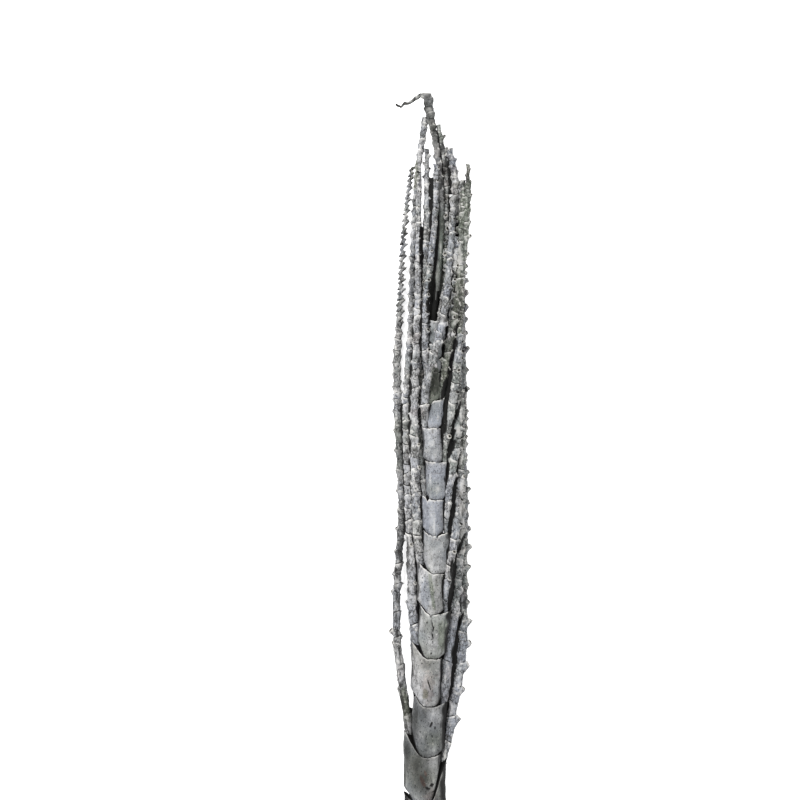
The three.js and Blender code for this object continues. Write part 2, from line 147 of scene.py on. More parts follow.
def mix(first: Array | float, second: Array | float, share: Array | float) -> Array | float:
    """Go from first to second by a share."""
    return first + (second - first) * share


# Large factors that spread a cell's three numbers and the seed over all the bits of a word.
CELL_FACTORS = (73856093, 19349663, 83492791)
SEED_FACTOR = 2654435
STIR_FACTORS = (2246822, 3266489)
WORD = 0xFFFFFFFF
HALF_WORD = 0xFFFF


def random_cells(cells: Array, seed: int) -> Array:
    """Give each whole-number cell a repeatable random value.

    Args:
        cells: Whole numbers, three to a cell.
        seed: Another seed gives other values.

    Returns:
        One value from -1 to 1 for each cell.
    """
    first, second, third = (cells[..., part] * CELL_FACTORS[part] for part in range(3))
    mixed = (first ^ second ^ third ^ (seed * SEED_FACTOR)) & WORD
    mixed = (mixed ^ (mixed >> 15)) * STIR_FACTORS[0] & WORD
    mixed = (mixed ^ (mixed >> 13)) * STIR_FACTORS[1] & WORD
    mixed ^= mixed >> 16
    return (mixed & HALF_WORD) / (HALF_WORD / 2) - 1.0


def noise(points: Array, size: float | Sequence[float], seed: int) -> Array:
    """Smooth noise in space.

    Args:
        points: Places, three numbers each.
        size: How wide one bump is, or its three widths.
        seed: Another seed gives other bumps.

    Returns:
        One value from -1 to 1 for each point.
    """
    scaled = points / np.asarray(size, float)
    cell = np.floor(scaled).astype(np.int64)
    part = scaled - cell
    part = part * part * (3.0 - 2.0 * part)
    total = np.zeros(points.shape[:-1])
    for corner in np.ndindex(2, 2, 2):
        weight = np.prod(np.where(corner, part, 1.0 - part), axis=-1)
        total += weight * random_cells(cell + np.array(corner), seed)
    return total


def stacked(*parts: Array | float) -> Array:
    """Put numbers side by side as the last axis."""
    return np.stack(np.broadcast_arrays(*parts), axis=-1)


def along(rows: Sequence[Sequence[float]], column: int, y: Array | float) -> Array:
    """Read one column of rows that start with their station, held past the ends."""
    table = np.array(rows, float)
    return np.interp(y, table[:, 0], table[:, column])


def smoothed(values: Array) -> Array:
    """Round off the corners of a list of values.

    Args:
        values: The values, one to a station.

    Returns:
        The rounded values, with both ends as they were.
    """
    for _ in range(SMOOTHING_PASSES):
        inner = (values[:-2] + 2 * values[1:-1] + values[2:]) / 4
        values = np.concatenate([values[:1], inner, values[-1:]])
    return values


@dataclass
class Line:
    """A line sampled at each station: its first station, then X, Z and radius from there."""

    first: int
    x: Array
    z: Array
    radius: Array
    rests: bool = False

    @classmethod
    def sampled(cls, rows: Sequence[Sequence[float]], rests: bool = False) -> "Line":
        """Sample rows of distance, X, Z and radius at each station.

        Args:
            rows: The rows, from root to tip.
            rests: Whether the line may be worn flat on the surface.

        Returns:
            The line with its corners rounded off.
        """
        first = math.ceil(rows[0][0] / STATION)
        last = math.floor(rows[-1][0] / STATION)
        y = np.arange(first, last + 1) * STATION
        x, z, radius = (smoothed(along(rows, column, y)) for column in (1, 2, 3))
        return cls(first, x, z, radius, rests)

    @property
    def start(self) -> float:
        """Station of the line's root."""
        return self.first * STATION

    @property
    def end(self) -> float:
        """Station of the line's tip."""
        return (self.first + len(self.x) - 1) * STATION

    def read(self, values: Array, y: Array | float) -> Array:
        """Read one list of the line at any station."""
        return np.interp(y, self.start + STATION * np.arange(len(values)), values)

    def smooth(self, values: Array, y: Array) -> Array:
        """Read one list of the line along a curve that passes through its stations.

        Args:
            values: The line's x, z or radius.
            y: Stations.

        Returns:
            The value at each distance.
        """
        padded = np.concatenate([[2 * values[0] - values[1]], values, [2 * values[-1] - values[-2]]])
        place = np.clip((y - self.start) / STATION, 0, len(values) - 1)
        cell = np.minimum(place.astype(int), len(values) - 2)
        share = place - cell
        before, low, high, after = (padded[cell + step] for step in range(4))
        slope_low, slope_high = (high - before) / 2, (after - low) / 2
        gap = high - low
        bend = slope_low + slope_high - 2 * gap
        return low + share * (slope_low + share * (3 * gap - 2 * slope_low - slope_high + share * bend))

    def middle(self, y: Array) -> Array:
        """The line's middle at each station."""
        return stacked(self.smooth(self.x, y), y, self.smooth(self.z, y))


def stalk_middle(y: Array) -> tuple[Array, Array]:
    """X and Z of the stalk's middle at each station."""
    return along(STALK, 1, y), along(STALK, 2, y)


@dataclass(frozen=True)
class SheathPlan:
    """One nested sheath: the side of its branch, its rim at left, front and right, and its pocket.

    The tints say how olive, blue or rusty its skin is, from 0 to 1, and `dimming` how much darker it is. A tear
    is an angle round the stalk from the right towards the front, a depth and a half width, in degrees and
    millimetres.
    `belly` widens the side away from the pocket, and the sheath is at its full width `swell` past the rim
    below it.
    """

    side: Side
    left: float
    front: float
    right: float
    pocket: float
    olive: float = 0.2
    blue: float = 0.3
    rust: float = 0.0
    dimming: float = 0.0
    belly: float = 0.0
    swell: float = 6.0
    tears: tuple[tuple[float, float, float], ...] = ()

    def rim(self, angle: Array) -> Array:
        """Station of the rim at each angle round the stalk."""
        across = np.cos(angle)
        return mix(self.front, np.where(across > 0, self.right, self.left), across * across)


SHEATHS = (
    SheathPlan(Side.RIGHT, 75, 60, 120, 5, olive=0.5, blue=0.1, rust=0.25, dimming=0.6, belly=3.6),
    SheathPlan(Side.LEFT, 154, 122, 126, 8, olive=0.35, blue=0.25, rust=0.1, dimming=0.46, swell=9),
    SheathPlan(Side.RIGHT, 201, 184, 190, 6, olive=0.3, blue=0.3, dimming=0.42, tears=((164, 4, 12),)),
    SheathPlan(Side.LEFT, 266, 244, 245, 7, olive=0.25, blue=0.2, rust=0.15, dimming=0.24),
    SheathPlan(Side.RIGHT, 312, 299, 304, 8, olive=0.35, blue=0.2, dimming=0.14, tears=((95, 3, 5),)),
    SheathPlan(Side.LEFT, 365, 350, 349, 7, olive=0.15, blue=0.1, rust=0.05),
    SheathPlan(Side.RIGHT, 404, 398, 402, 7, olive=0.15, blue=0.3, tears=((75, 5, 7),)),
    SheathPlan(Side.LEFT, 449, 442, 441, 6, olive=0.1, blue=0.5, tears=((128, 4, 9),)),
    SheathPlan(Side.RIGHT, 490, 489, 490, 5, olive=0.15, blue=0.5),
    SheathPlan(Side.LEFT, 532, 531, 531, 5, olive=0.1, blue=0.6, tears=((60, 2, 9),)),
    SheathPlan(Side.RIGHT, 551, 565, 570, 5, olive=0.1, blue=0.65),
    SheathPlan(Side.LEFT, 601, 602, 599, 4.5, olive=0.5, blue=0.2, dimming=0.3),
    SheathPlan(Side.RIGHT, 636, 636, 636, 4.5, olive=0.3, blue=0.4),
    SheathPlan(Side.RIGHT, 666, 665, 665, 3.5, olive=0.3, blue=0.5),
)


@dataclass(frozen=True)
class BranchPlan:
    """One side branch: radius at root and tip, its route, and how it is jointed.

    The route's rows are station, X and Z. Joints are long at the root, by `root_joint`, and
    shorten to `tip_joint` over about `joint_run`. `twist` is the angle of the plane that the stubs stand in,
    in degrees, 0 across the bundle and 90 towards the front, and `zigzag` is how far the tip's joints lean.
    `girth` widens the branch by station, the dark fill of painted shade on its lower sides ends at
    `shade_fill_until`, dark webs of painted shade close the gap at its right along `webs`, and `dimming` darkens
    it past `undimmed_until`. `stub` scales its stubs, which lean off it by `stub_lean` degrees, and `sway` slants
    the thin joints sideways, in radii.
    `outer` places stubs on the bundle's outline, each by its station and its reach, and
    `stub_width` widens those.
    """

    name: str
    thick: float
    thin: float
    route: tuple[tuple[float, float, float], ...]
    rests: bool = False
    root_joint: float = 24.0
    tip_joint: float = 6.8
    joint_run: float = 130.0
    twist: float = 20.0
    zigzag: float = 0.2
    girth: tuple[tuple[float, float], ...] = ((0, 1.1),)
    shade_fill_until: float = 780.0
    webs: tuple[tuple[float, float], ...] = ((0.0, 832.0),)
    dimming: float = 0.0
    undimmed_until: float = 0.0
    stub: float = 1.0
    stub_width: float = 1.0
    stub_lean: float = 56.0
    sway: float = 0.0
    olive: float = 0.25
    blue: float = 0.35
    outer: tuple[tuple[float, float], ...] = ()


BRANCHES = (
    BranchPlan(
        "branch_r1", 5.2, 2.8,
        (
            (140, 18.5, 23), (172, 21.5, 20), (190, 25, 18), (211, 30, 16), (235, 34, 14), (260, 36.5, 12),
            (329, 37.5, 8), (404, 39, 5), (441, 39.5, 3), (516, 37, 2), (564, 36, 4),
        ),
        rests=True, tip_joint=9, twist=6, zigzag=0.12,
        girth=((140, 1.15), (200, 1.25), (330, 1.22), (350, 1.15), (564, 1.15)),
        stub=0.3, stub_width=1.5, stub_lean=36, olive=0.2, blue=0.5,
        outer=(
            (170, 3.4), (206, 3.6), (236, 4.4), (262, 5.0), (289, 4.8), (312, 1), (334, 0.6), (357, 2),
            (382, 4.2), (404, 3.4), (421, 0.5), (437, 1.5), (454, 3), (475, 2.2), (497, 1), (520, 0.5),
            (543, 3.4),
        ),
    ),
    BranchPlan(
        "branch_l1", 5, 2.4,
        (
            (172, -34, 23), (248, -45, 20), (291, -47.5, 17), (335, -46, 14), (429, -40, 8), (516, -44, 3),
            (604, -47, 3), (691, -42, 7), (760, -39, 10), (829, -32, 13), (868, -25, 15),
        ),
        rests=True, twist=-6, zigzag=0.14, stub=0.6, stub_width=1.3, sway=1.5,
        girth=(
            (150, 1.35), (180, 1.1), (420, 1.05), (500, 1.2), (560, 1.4), (630, 1.42), (680, 1.1), (705, 0.9),
            (868, 0.95),
        ),
        webs=((140, 188), (397, 566)), dimming=0.28, olive=0.15, blue=0.2,
        outer=(
            (206, 1), (262, 1), (277, 2.6), (325, 2), (347, 2.4), (376, 1), (404, 1.5), (428, 0.8),
            (452, 1.5), (478, 0.6), (503, 1.4), (528, 0.8), (552, 1.5),
        ),
    ),
    BranchPlan(
        "branch_r2", 5.2, 2.8,
        (
            (204, 14, 26), (254, 18, 24), (301, 26, 22), (348, 31, 20), (404, 34, 17), (485, 36, 14),
            (572, 37.5, 12), (660, 36, 12), (735, 36, 12),
        ),
        twist=8, girth=((204, 1.25), (300, 1.2), (360, 1.18), (735, 1.18)), webs=((0, 740),),
        stub_width=1.5, olive=0.18, blue=0.45,
        outer=(
            (300, 0.6), (330, 0.6), (356, 0.6), (380, 0.6), (404, 0.6), (427, 0.6), (449, 0.6), (470, 0.6),
            (491, 0.6), (511, 0.6), (531, 0.6), (552, 1.5), (580, 3), (604, 1.5), (631, 3.4), (650, 1.5),
            (668, 2.2), (684, 2.6), (701, 3.2), (716, 3.4),
        ),
    ),
    BranchPlan(
        "branch_l2", 5.8, 2.6,
        (
            (279, -25, 26), (316, -27.5, 26), (391, -29, 24), (466, -32.5, 18), (554, -35, 14),
            (604, -33, 20), (641, -29.5, 23), (710, -27.5, 25), (797, -24.5, 25), (862, -19.5, 24),
            (906, -12.5, 24), (926, -9.5, 25),
        ),
        root_joint=38, twist=52, stub=0.6,
        girth=(
            (250, 1.55), (282, 1.1), (480, 1.0), (700, 0.98), (780, 0.92), (850, 1.2), (880, 1.4), (926, 1.6),
        ),
        dimming=0.3, undimmed_until=650, olive=0.1, blue=0.3,
    ),
    BranchPlan(
        "branch_r3", 5, 2.8,
        (
            (319, 13, 28), (361, 19.5, 30), (406, 27.5, 29), (454, 32.5, 27), (510, 35.5, 23), (581, 34, 20),
        ),
        root_joint=26, tip_joint=8, twist=35, girth=((319, 0.72), (396, 1.2)), olive=0.15, blue=0.5,
    ),
    BranchPlan(
        "branch_l3", 5.2, 2.6,
        (
            (385, -20, 30), (454, -23, 33), (541, -24.5, 34), (604, -23, 34), (679, -20.5, 33),
            (766, -19.5, 32), (856, -18.5, 31),
        ),
        tip_joint=9, twist=58, girth=((385, 1.12),), webs=((0, 790),), dimming=0.2, undimmed_until=650,
        olive=0.15, blue=0.25,
    ),
    BranchPlan(
        "branch_r4", 4.8, 2.7,
        (
            (419, 15, 30), (464, 20, 32), (504, 27.5, 32), (547, 31, 30), (610, 30.5, 26), (679, 33, 22),
            (760, 36, 21),
        ),
        root_joint=26, twist=42, girth=((419, 0.72), (496, 1.2)), olive=0.18, blue=0.5,
    ),
    BranchPlan(
        "branch_l4", 4.8, 2.5,
        (
            (469, -16.5, 28), (541, -17.5, 25), (585, -17.5, 24), (666, -14, 26), (710, -10.5, 29),
            (797, -9, 30), (882, -9, 29),
        ),
        tip_joint=9, twist=64,
        girth=((469, 1.12), (700, 1.15), (735, 1.55), (790, 1.45), (820, 1.15)),
        webs=((0, 848),), dimming=0.14, undimmed_until=650, olive=0.3, blue=0.3,
    ),
    BranchPlan(
        "branch_r5", 4.8, 2.6,
        (
            (506, 13, 31), (544, 19.5, 36), (581, 26, 39), (629, 30, 37), (691, 32.5, 33), (766, 34, 31),
            (806, 34, 30),
        ),
        root_joint=20, twist=45, girth=((506, 0.75), (580, 1.18)), olive=0.3, blue=0.35,
    ),
    BranchPlan(
        "branch_l5", 4.8, 2.6,
        (
            (547, -13, 34), (588, -10, 41), (626, 0.5, 45), (672, 12.5, 45), (722, 18, 44), (772, 21, 42),
            (822, 24, 40),
        ),
        root_joint=40, joint_run=70, twist=60, zigzag=0.24, girth=((547, 1.15),), olive=0.2, blue=0.4,
    ),
    BranchPlan(
        "branch_r6", 4.6, 2.3,
        (
            (586, 11, 32), (630, 18, 38), (672, 25.5, 43), (716, 32, 44), (760, 37.5, 42), (816, 41, 38),
            (844, 42.5, 36), (858, 42, 35), (868, 44, 34),
        ),
        twist=25, zigzag=0.24,
        girth=((586, 1.14), (700, 1.25), (800, 1.6), (832, 1.7), (841, 0.95), (868, 0.95)),
        shade_fill_until=842, webs=((0, 842),), dimming=0.3, olive=0.65, blue=0.15,
        outer=(
            (606, 1), (626, 1), (646, 1), (666, 1), (685, 1), (702, 1.4), (717, 2), (732, 2.4), (747, 3.2),
            (769, 3.6), (786, 2), (803, 1.8), (820, 1.5), (837, 1),
        ),
    ),
    BranchPlan(
        "branch_l6", 4.4, 2.5,
        ((622, -12, 34), (679, -11, 38), (739, -4.5, 40), (797, 2, 39), (865, 2.5, 37)),
        root_joint=14, twist=55, zigzag=0.24, girth=((622, 1.12),), olive=0.2, blue=0.5,
    ),
    BranchPlan(
        "branch_r7", 4.2, 2.4,
        (
            (652, 11, 31), (698, 15.5, 31), (748, 21, 30), (806, 27, 31), (839, 27, 32), (862, 23.5, 32),
            (881, 18.5, 32),
        ),
        root_joint=12, twist=10, zigzag=0.24, girth=((652, 1.14), (790, 1.2), (835, 1.6), (881, 1.4)),
        shade_fill_until=890, olive=0.25, blue=0.4,
    ),
    BranchPlan(
        "branch_r8", 4, 2.3,
        (
            (680, 8, 27), (710, 15, 22), (739, 18, 20), (810, 16, 22), (866, 12.5, 25), (891, 9, 27),
            (910, 5, 28),
        ),
        root_joint=12, twist=20, zigzag=0.24,
        girth=((680, 1.12), (800, 1.25), (845, 1.65), (885, 1.4), (910, 1.1)),
        shade_fill_until=900, webs=((0, 880),), olive=0.4, blue=0.2,
    ),
)


def sheath_wall(index: int) -> float:
    """How thick a sheath's wall is."""
    return mix(WALL_LOW, WALL_HIGH, index / (len(SHEATHS) - 1))


def base_height(index: int, angle: Array) -> Array:
    """Where a sheath starts, a little below the rim that it comes out of."""
    return np.zeros_like(angle) if index == 0 else SHEATHS[index - 1].rim(angle) - TUCK


def emerge_height(index: int, angle: Array) -> Array:
    """Where a sheath has come clear of the rim below it."""
    return np.full_like(angle, TUCK) if index == 0 else SHEATHS[index - 1].rim(angle) + 1


def sheath_inner(index: int, y: Array, angle: Array) -> Array:
    """Inner radius of a sheath: tight inside the one below, wider towards its mouth and its pocket.

    Args:
        index: Which sheath, from the foot.
        y: Stations.
        angle: Angles round the stalk, in radians, 0 at the right.

    Returns:
        The inner radius at each place.
    """
    sheath = SHEATHS[index]
    rim = sheath.rim(angle)
    wide = np.minimum(emerge_height(index, angle) + FLARE_RUN, rim - TUCK)
    tight = np.minimum(emerge_height(index, angle), wide - TUCK)
    flare = 1.0 if index == 0 else smoothstep(y, tight, wide)
    facing = np.maximum(0.0, np.cos(angle) * sheath.side.value)
    base = base_height(index, angle)
    rise = smoothstep(y, mix(base, rim, POCKET_FROM), mix(base, rim, POCKET_FULL))
    step = GAP + sheath_wall(index) + MOUTH_SLACK
    return along(STALK, 3, y) + GAP + flare * step + sheath.pocket * rise * facing**POCKET_FOCUS


# How neighbours are read: the share of a line's widened radius that is its skin, how far it is felt past its
# ends, and how far it must stand out past a strand's own edge.
SKIN_SHARE = 0.96
END_SLACK = 2.0
STANDS_OUT = 0.5


class Bundle:
    """All branch lines, laid beside each other as in the frame."""

    def __init__(self) -> None:
        """Lay every branch's line and keep the stalk's own end line."""
        self.lines = [self.branch_line(plan, index) for index, plan in enumerate(BRANCHES)]
        self.lay()
        start = (TERMINAL_START, *(float(along(STALK, column, TERMINAL_START)) for column in (1, 2, 3)))
        self.terminal = Line.sampled([start, *(row for row in STALK if row[0] > TERMINAL_START)])

    @staticmethod
    def branch_line(plan: BranchPlan, index: int) -> Line:
        """Work out a branch's line before the bundle is laid.

        Args:
            plan: The branch.
            index: The sheath that it comes out of.

        Returns:
            The line from deep in the sheath's pocket to the branch's tip.
        """
        sheath = SHEATHS[index]
        angle = sheath.side.angle
        rim = float(sheath.rim(angle))
        rows = []
        for y in (rim - ROOT_DEPTH, rim):
            x, z = stalk_middle(y)
            room = (along(STALK, 3, y) + sheath_wall(index) + sheath_inner(index, np.array(y), angle)) / 2
            rows.append((y, float(x + sheath.side.value * room), float(z)))
        rows.extend(plan.route)
        start, end = rows[0][0], rows[-1][0]
        radii = [
            mix(ROOT_TAPER, 1.0, smoothstep(y, start, start + ROOT_GROWTH))
            * mix(plan.thick, plan.thin, (y - start) / (end - start))
            for y, _, _ in rows
        ]
        return Line.sampled([(*row, float(radius)) for row, radius in zip(rows, radii)], plan.rests)

    @staticmethod
    def stalk_reach(y: float, side: float) -> float:
        """How far the stalk and its sheaths reach towards one side.

        Args:
            y: Station.
            side: Above 0 for the right, otherwise the left.

        Returns:
            The reach from the stalk's middle.
        """
        angle = np.array(0.0 if side > 0 else math.pi)
        for index, sheath in enumerate(SHEATHS):
            if y <= sheath.rim(angle):
                return float(sheath_inner(index, np.array(y), angle)) + sheath_wall(index)
        return float(along(STALK, 3, y))

    def lay(self) -> None:
        """Part the lines in Z until none runs into another, into the stalk or into the surface."""
        stations = max(line.first + len(line.x) for line in self.lines)
        shape = (len(self.lines), stations)
        x, z, radius = (np.full(shape, np.nan) for _ in range(3))
        free = np.zeros(shape, bool)
        for row, line in enumerate(self.lines):
            span = slice(line.first, line.first + len(line.x))
            x[row, span], z[row, span], radius[row, span] = line.x, line.z, line.radius
            free[row, line.first + HELD_STATIONS : line.first + len(line.x)] = True
        home = z.copy()
        y = np.arange(stations) * STATION
        stalk_x, stalk_z = stalk_middle(y)
        rank = np.arange(len(self.lines))
        order = np.sign(home[:, None] - home[None])
        order = np.where(order == 0, np.sign(rank[:, None] - rank[None])[..., None], order)
        apart_x = x[:, None] - x[None]
        reach = MOUTH * (radius[:, None] + radius[None]) + LAY_MARGIN
        needed = np.sqrt(np.maximum(0, reach**2 - apart_x**2))
        needed[rank, rank] = np.nan
        from_stalk = x - stalk_x
        stalk_order = np.where(home >= stalk_z, 1.0, -1.0)
        stalk_reach = np.array(
            [
                [0 if np.isnan(side) else self.stalk_reach(at, side) for at, side in zip(y, row)]
                for row in from_stalk
            ]
        )
        stalk_needed = np.sqrt(
            np.maximum(0, (stalk_reach + MOUTH * radius + LAY_MARGIN / 2) ** 2 - from_stalk**2)
        )
        rests = np.array([[line.rests] for line in self.lines])
        floor = radius + np.where(rests, -REST_CUT, FLOOR_CLEAR)
        for _ in range(LAY_PASSES):
            short = np.maximum(0, needed - (z[:, None] - z[None]) * order)
            push = np.nansum(order * short / 2, axis=1)
            push += stalk_order * np.maximum(0, stalk_needed - (z - stalk_z) * stalk_order)
            before = np.concatenate([z[:, :1], z[:, :-1]], axis=1)
            after = np.concatenate([z[:, 1:], z[:, -1:]], axis=1)
            after = np.where(np.isnan(after), z, after)
            bend = before + after - 2 * z
            moved = z + LAY_PUSH * push + LAY_HOME * (home - z) + LAY_STIFF * bend
            z = np.where(free, np.maximum(moved, floor), z)
        for row, line in enumerate(self.lines):
            line.z = z[row, line.first : line.first + len(line.x)]

    def clearance(self, points: Array, own: int) -> Array:
        """How far each point is from the nearest other branch.

        Args:
            points: Places on a surface, in millimetres from the foot.
            own: The branch that the surface belongs to, or that its sheath holds.

        Returns:
            The distance to that branch's skin, below 0 inside it.
        """
        x, y, z = points[..., 0], points[..., 1], points[..., 2]
        clear = np.full(x.shape, FAR)
        for index, line in enumerate([*self.lines, self.terminal]):
            if index == own:
                continue
            girth = along(BRANCHES[index].girth, 1, y) if index < len(BRANCHES) else 1.0
            skin = SKIN_SHARE * girth * line.read(line.radius, y)
            away = np.hypot(x - line.read(line.x, y), z - line.read(line.z, y)) - skin
            felt = (y > line.start - END_SLACK) & (y < line.end + END_SLACK)
            clear = np.where(felt, np.minimum(clear, away), clear)
        return clear

    def strand(self, index: int, y: Array, side: float) -> tuple[Array, Array, Array, Array]:
        """Where one strand runs; the number after the last branch is the stalk.

        Args:
            index: The strand's number.
            y: Stations.
            side: The angle at which the stalk's reach is read, in radians.

        Returns:
            Its middle's X and Z, its radius, and whether it is there at all.
        """
        if index < len(self.lines):
            line = self.lines[index]
            x, z, radius = (line.read(values, y) for values in (line.x, line.z, line.radius))
            return x, z, radius, (y >= line.start) & (y <= line.end)
        x, z = stalk_middle(y)
        return x, z, stalk_outer(y, np.full(y.shape, side)), y < STALK[-1][0]

    def beside(self, own: int, y: Array) -> tuple[Array, Array, Array]:
        """What stands next to a strand on its right, at each station.

        Args:
            own: The strand.
            y: Stations.

        Returns:
            The neighbour's number, its middle, and the open gap between both skins as seen from above.
        """
        own_x, _, own_radius, _ = self.strand(own, y, 0.0)
        edge = own_x + own_radius
        number = np.full(y.shape, -1)
        middle = np.zeros((*y.shape, 2))
        gap = np.full(y.shape, FAR)
        for index in range(len(self.lines) + 1):
            if index == own:
                continue
            x, z, radius, there = self.strand(index, y, math.pi)
            nearer = there & (x + radius > edge + STANDS_OUT) & (x > own_x) & (x - radius - edge < gap)
            gap = np.where(nearer, x - radius - edge, gap)
            number = np.where(nearer, index, number)
            middle = np.where(nearer[:, None], stacked(x, z), middle)
        return number, middle, gap


FOOT_SLACK = 0.01


def frame_shift() -> Array:
    """Work out where the foot of the stalk's own line stands in the frame.

    Returns:
        What is added to a place in millimetres from the foot.
    """
    places = np.array([vertex.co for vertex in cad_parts["stalk"].data.vertices]) / MM
    foot = places[places[:, 1] < places[:, 1].min() + FOOT_SLACK]
    centre = (foot.min(axis=0) + foot.max(axis=0)) / 2
    return np.array([centre[0] - STALK[0][1], centre[1], 0.0])


SHIFT = frame_shift()

# The frame's highest point, and over how many millimetres below it a taller bump is eased off.
HIGHEST = CAD_BOX[1][2] / MM
TOP_EASE = 1.6


@dataclass
class Skin:
    """A growing list of surface pieces that ends as one mesh.

    `shade_and_wear` holds painted shade with dark marks, the pale lip and the cut, `tint` olive, blue and rust,
    and
    `relief` how far the skin stands out, which the material also paints as shade in hollows and highlight on
    bumps.
    """

    places: list[Array] = field(default_factory=list)
    quads: list[Array] = field(default_factory=list)
    triangles: list[Array] = field(default_factory=list)
    shade_and_wear: list[Array] = field(default_factory=list)
    tint: list[Array] = field(default_factory=list)
    relief: list[Array] = field(default_factory=list)
    count: int = 0

    def add_points(self, places: Array, shade_and_wear: Array, tint: Array, relief: Array) -> int:
        """Add points with what their skin looks like.

        Args:
            places: Points in millimetres from the foot.
            shade_and_wear: Painted shade with dark marks, lip and cut of each point.
            tint: Olive, blue and rust of each point.
            relief: How far each point stands out.

        Returns:
            The number of the first point.
        """
        first = self.count
        self.places.append(places.reshape(-1, 3))
        self.shade_and_wear.append(shade_and_wear.reshape(-1, 3))
        self.tint.append(tint.reshape(-1, 3))
        self.relief.append(relief.reshape(-1))
        self.count += len(self.places[-1])
        return first

    def add_tube(self, places: Array, shade_and_wear: Array, tint: Array, relief: Array, closed: bool = False) -> None:
        """Add a tube of rings, capped at both ends unless it closes on itself.

        Args:
            places: Rings of points, ring by ring, each going round from the right towards the front.
            shade_and_wear: Painted shade with dark marks, lip and cut of each point.
            tint: Olive, blue and rust of each point.
            relief: How far each point stands out.
            closed: Whether the last ring joins the first.
        """
        rings, sides = places.shape[:2]
        first = self.add_points(places, shade_and_wear, tint, relief)
        spans = rings if closed else rings - 1
        ring = np.arange(spans)[:, None]
        side = np.arange(sides)[None]
        after, beside = (ring + 1) % rings, (side + 1) % sides
        corners = [ring * sides + side, after * sides + side, after * sides + beside, ring * sides + beside]
        self.quads.append(first + np.stack(np.broadcast_arrays(*corners), axis=-1).reshape(-1, 4))
        if closed:
            return
        for at, turn in ((0, 1), (rings - 1, -1)):
            middle = self.add_points(
                places[at].mean(axis=0), shade_and_wear[at].mean(axis=0), tint[at].mean(axis=0), relief[at].mean(axis=0)
            )
            rim = first + at * sides
            fan = np.stack([np.full(sides, middle), rim + side[0], rim + beside[0]], axis=1)
            self.triangles.append(fan[:, ::turn])

    def finish(self, name: str) -> Object:
        """Make the mesh and its object, in metres and in the frame.

        Args:
            name: The object's name.

        Returns:
            The new object.
        """
        mesh = bpy.data.meshes.new(name)
        places = np.concatenate(self.places)
        over = np.maximum(places[:, 2] - (HIGHEST - TOP_EASE), 0.0)
        places[:, 2] = np.maximum(places[:, 2] - over + TOP_EASE * np.tanh(over / TOP_EASE), 0.0)
        quads = np.concatenate(self.quads)
        triangles = np.concatenate(self.triangles) if self.triangles else np.zeros((0, 3), int)
        faces = len(quads) + len(triangles)
        mesh.vertices.add(len(places))
        mesh.vertices.foreach_set("co", ((places + SHIFT) * MM).astype(np.float32).ravel())
        mesh.loops.add(quads.size + triangles.size)
        corners = np.concatenate([quads.ravel(), triangles.ravel()])
        mesh.loops.foreach_set("vertex_index", corners.astype(np.int32))
        starts = np.concatenate([np.arange(len(quads)) * 4, quads.size + np.arange(len(triangles)) * 3])
        mesh.polygons.add(faces)
        mesh.polygons.foreach_set("loop_start", starts.astype(np.int32))
        mesh.update(calc_edges=True)
        mesh.validate()
        mesh.polygons.foreach_set("use_smooth", np.ones(len(mesh.polygons), bool))
        for attribute, values, kind, width in (
            ("shade_and_wear", self.shade_and_wear, "FLOAT_VECTOR", "vector"),
            ("tint", self.tint, "FLOAT_VECTOR", "vector"),
            ("relief", self.relief, "FLOAT", "value"),
        ):
            layer = mesh.attributes.new(attribute, kind, "POINT")
            layer.data.foreach_set(width, np.concatenate(values).astype(np.float32).ravel())
        mesh.update()
        piece = bpy.data.objects.new(name, mesh)
        bpy.context.scene.collection.objects.link(piece)
        return piece


def around(angles: Array) -> tuple[Array, Array]:
    """The cosine and sine of angles round a line, from the right towards the front."""
    return np.cos(angles), np.sin(angles)


def crosswise(direction: Array) -> tuple[Array, Array]:
    """Work out the sideways and upward directions of a line.

    Args:
        direction: The way that the line runs, of length 1.

    Returns:
        Both directions, square to it.
    """
    across = np.cross(direction, (0.0, 0.0, 1.0))
    across /= np.linalg.norm(across, axis=-1, keepdims=True)
    return across, np.cross(across, direction)


def round_angles(sides: int) -> Array:
    """The angles of a ring's points, in radians."""
    return np.arange(sides) * 2 * math.pi / sides


def swept(middles: Array, radii: Array, sides: int) -> Array:
    """Lay rings of points round a line in space.

    Args:
        middles: The points of the line.
        radii: The radius at each point.
        sides: How many points each ring has.

    Returns:
        The rings, each going round from the right towards the front.
    """
    direction = np.gradient(middles, axis=0)
    direction /= np.linalg.norm(direction, axis=1, keepdims=True)
    across, up = crosswise(direction)
    cosine, sine = around(round_angles(sides))
    ring = cosine[None, :, None] * across[:, None] + sine[None, :, None] * up[:, None]
    return middles[:, None] + radii[:, None, None] * ring


def stalk_outer(y: Array, angle: Array) -> Array:
    """Radius of whatever is outermost on the stalk.

    Args:
        y: Stations.
        angle: Angles round the stalk, in radians.

    Returns:
        The radius at each place.
    """
    outer = along(STALK, 3, y)
    for index in reversed(range(len(SHEATHS))):
        rim = SHEATHS[index].rim(angle)
        outer = np.where(y <= rim, sheath_inner(index, y, angle) + sheath_wall(index), outer)
    return outer


def off_stalk(points: Array) -> Array:
    """How far each point is from the stalk's outermost skin.

    Args:
        points: Places in millimetres from the foot.

    Returns:
        The distance, below 0 inside.
    """
    x, z = stalk_middle(points[..., 1])
    angle = np.arctan2(points[..., 2] - z, points[..., 0] - x)
    away = np.hypot(points[..., 0] - x, points[..., 2] - z)
    return away - stalk_outer(points[..., 1], angle)


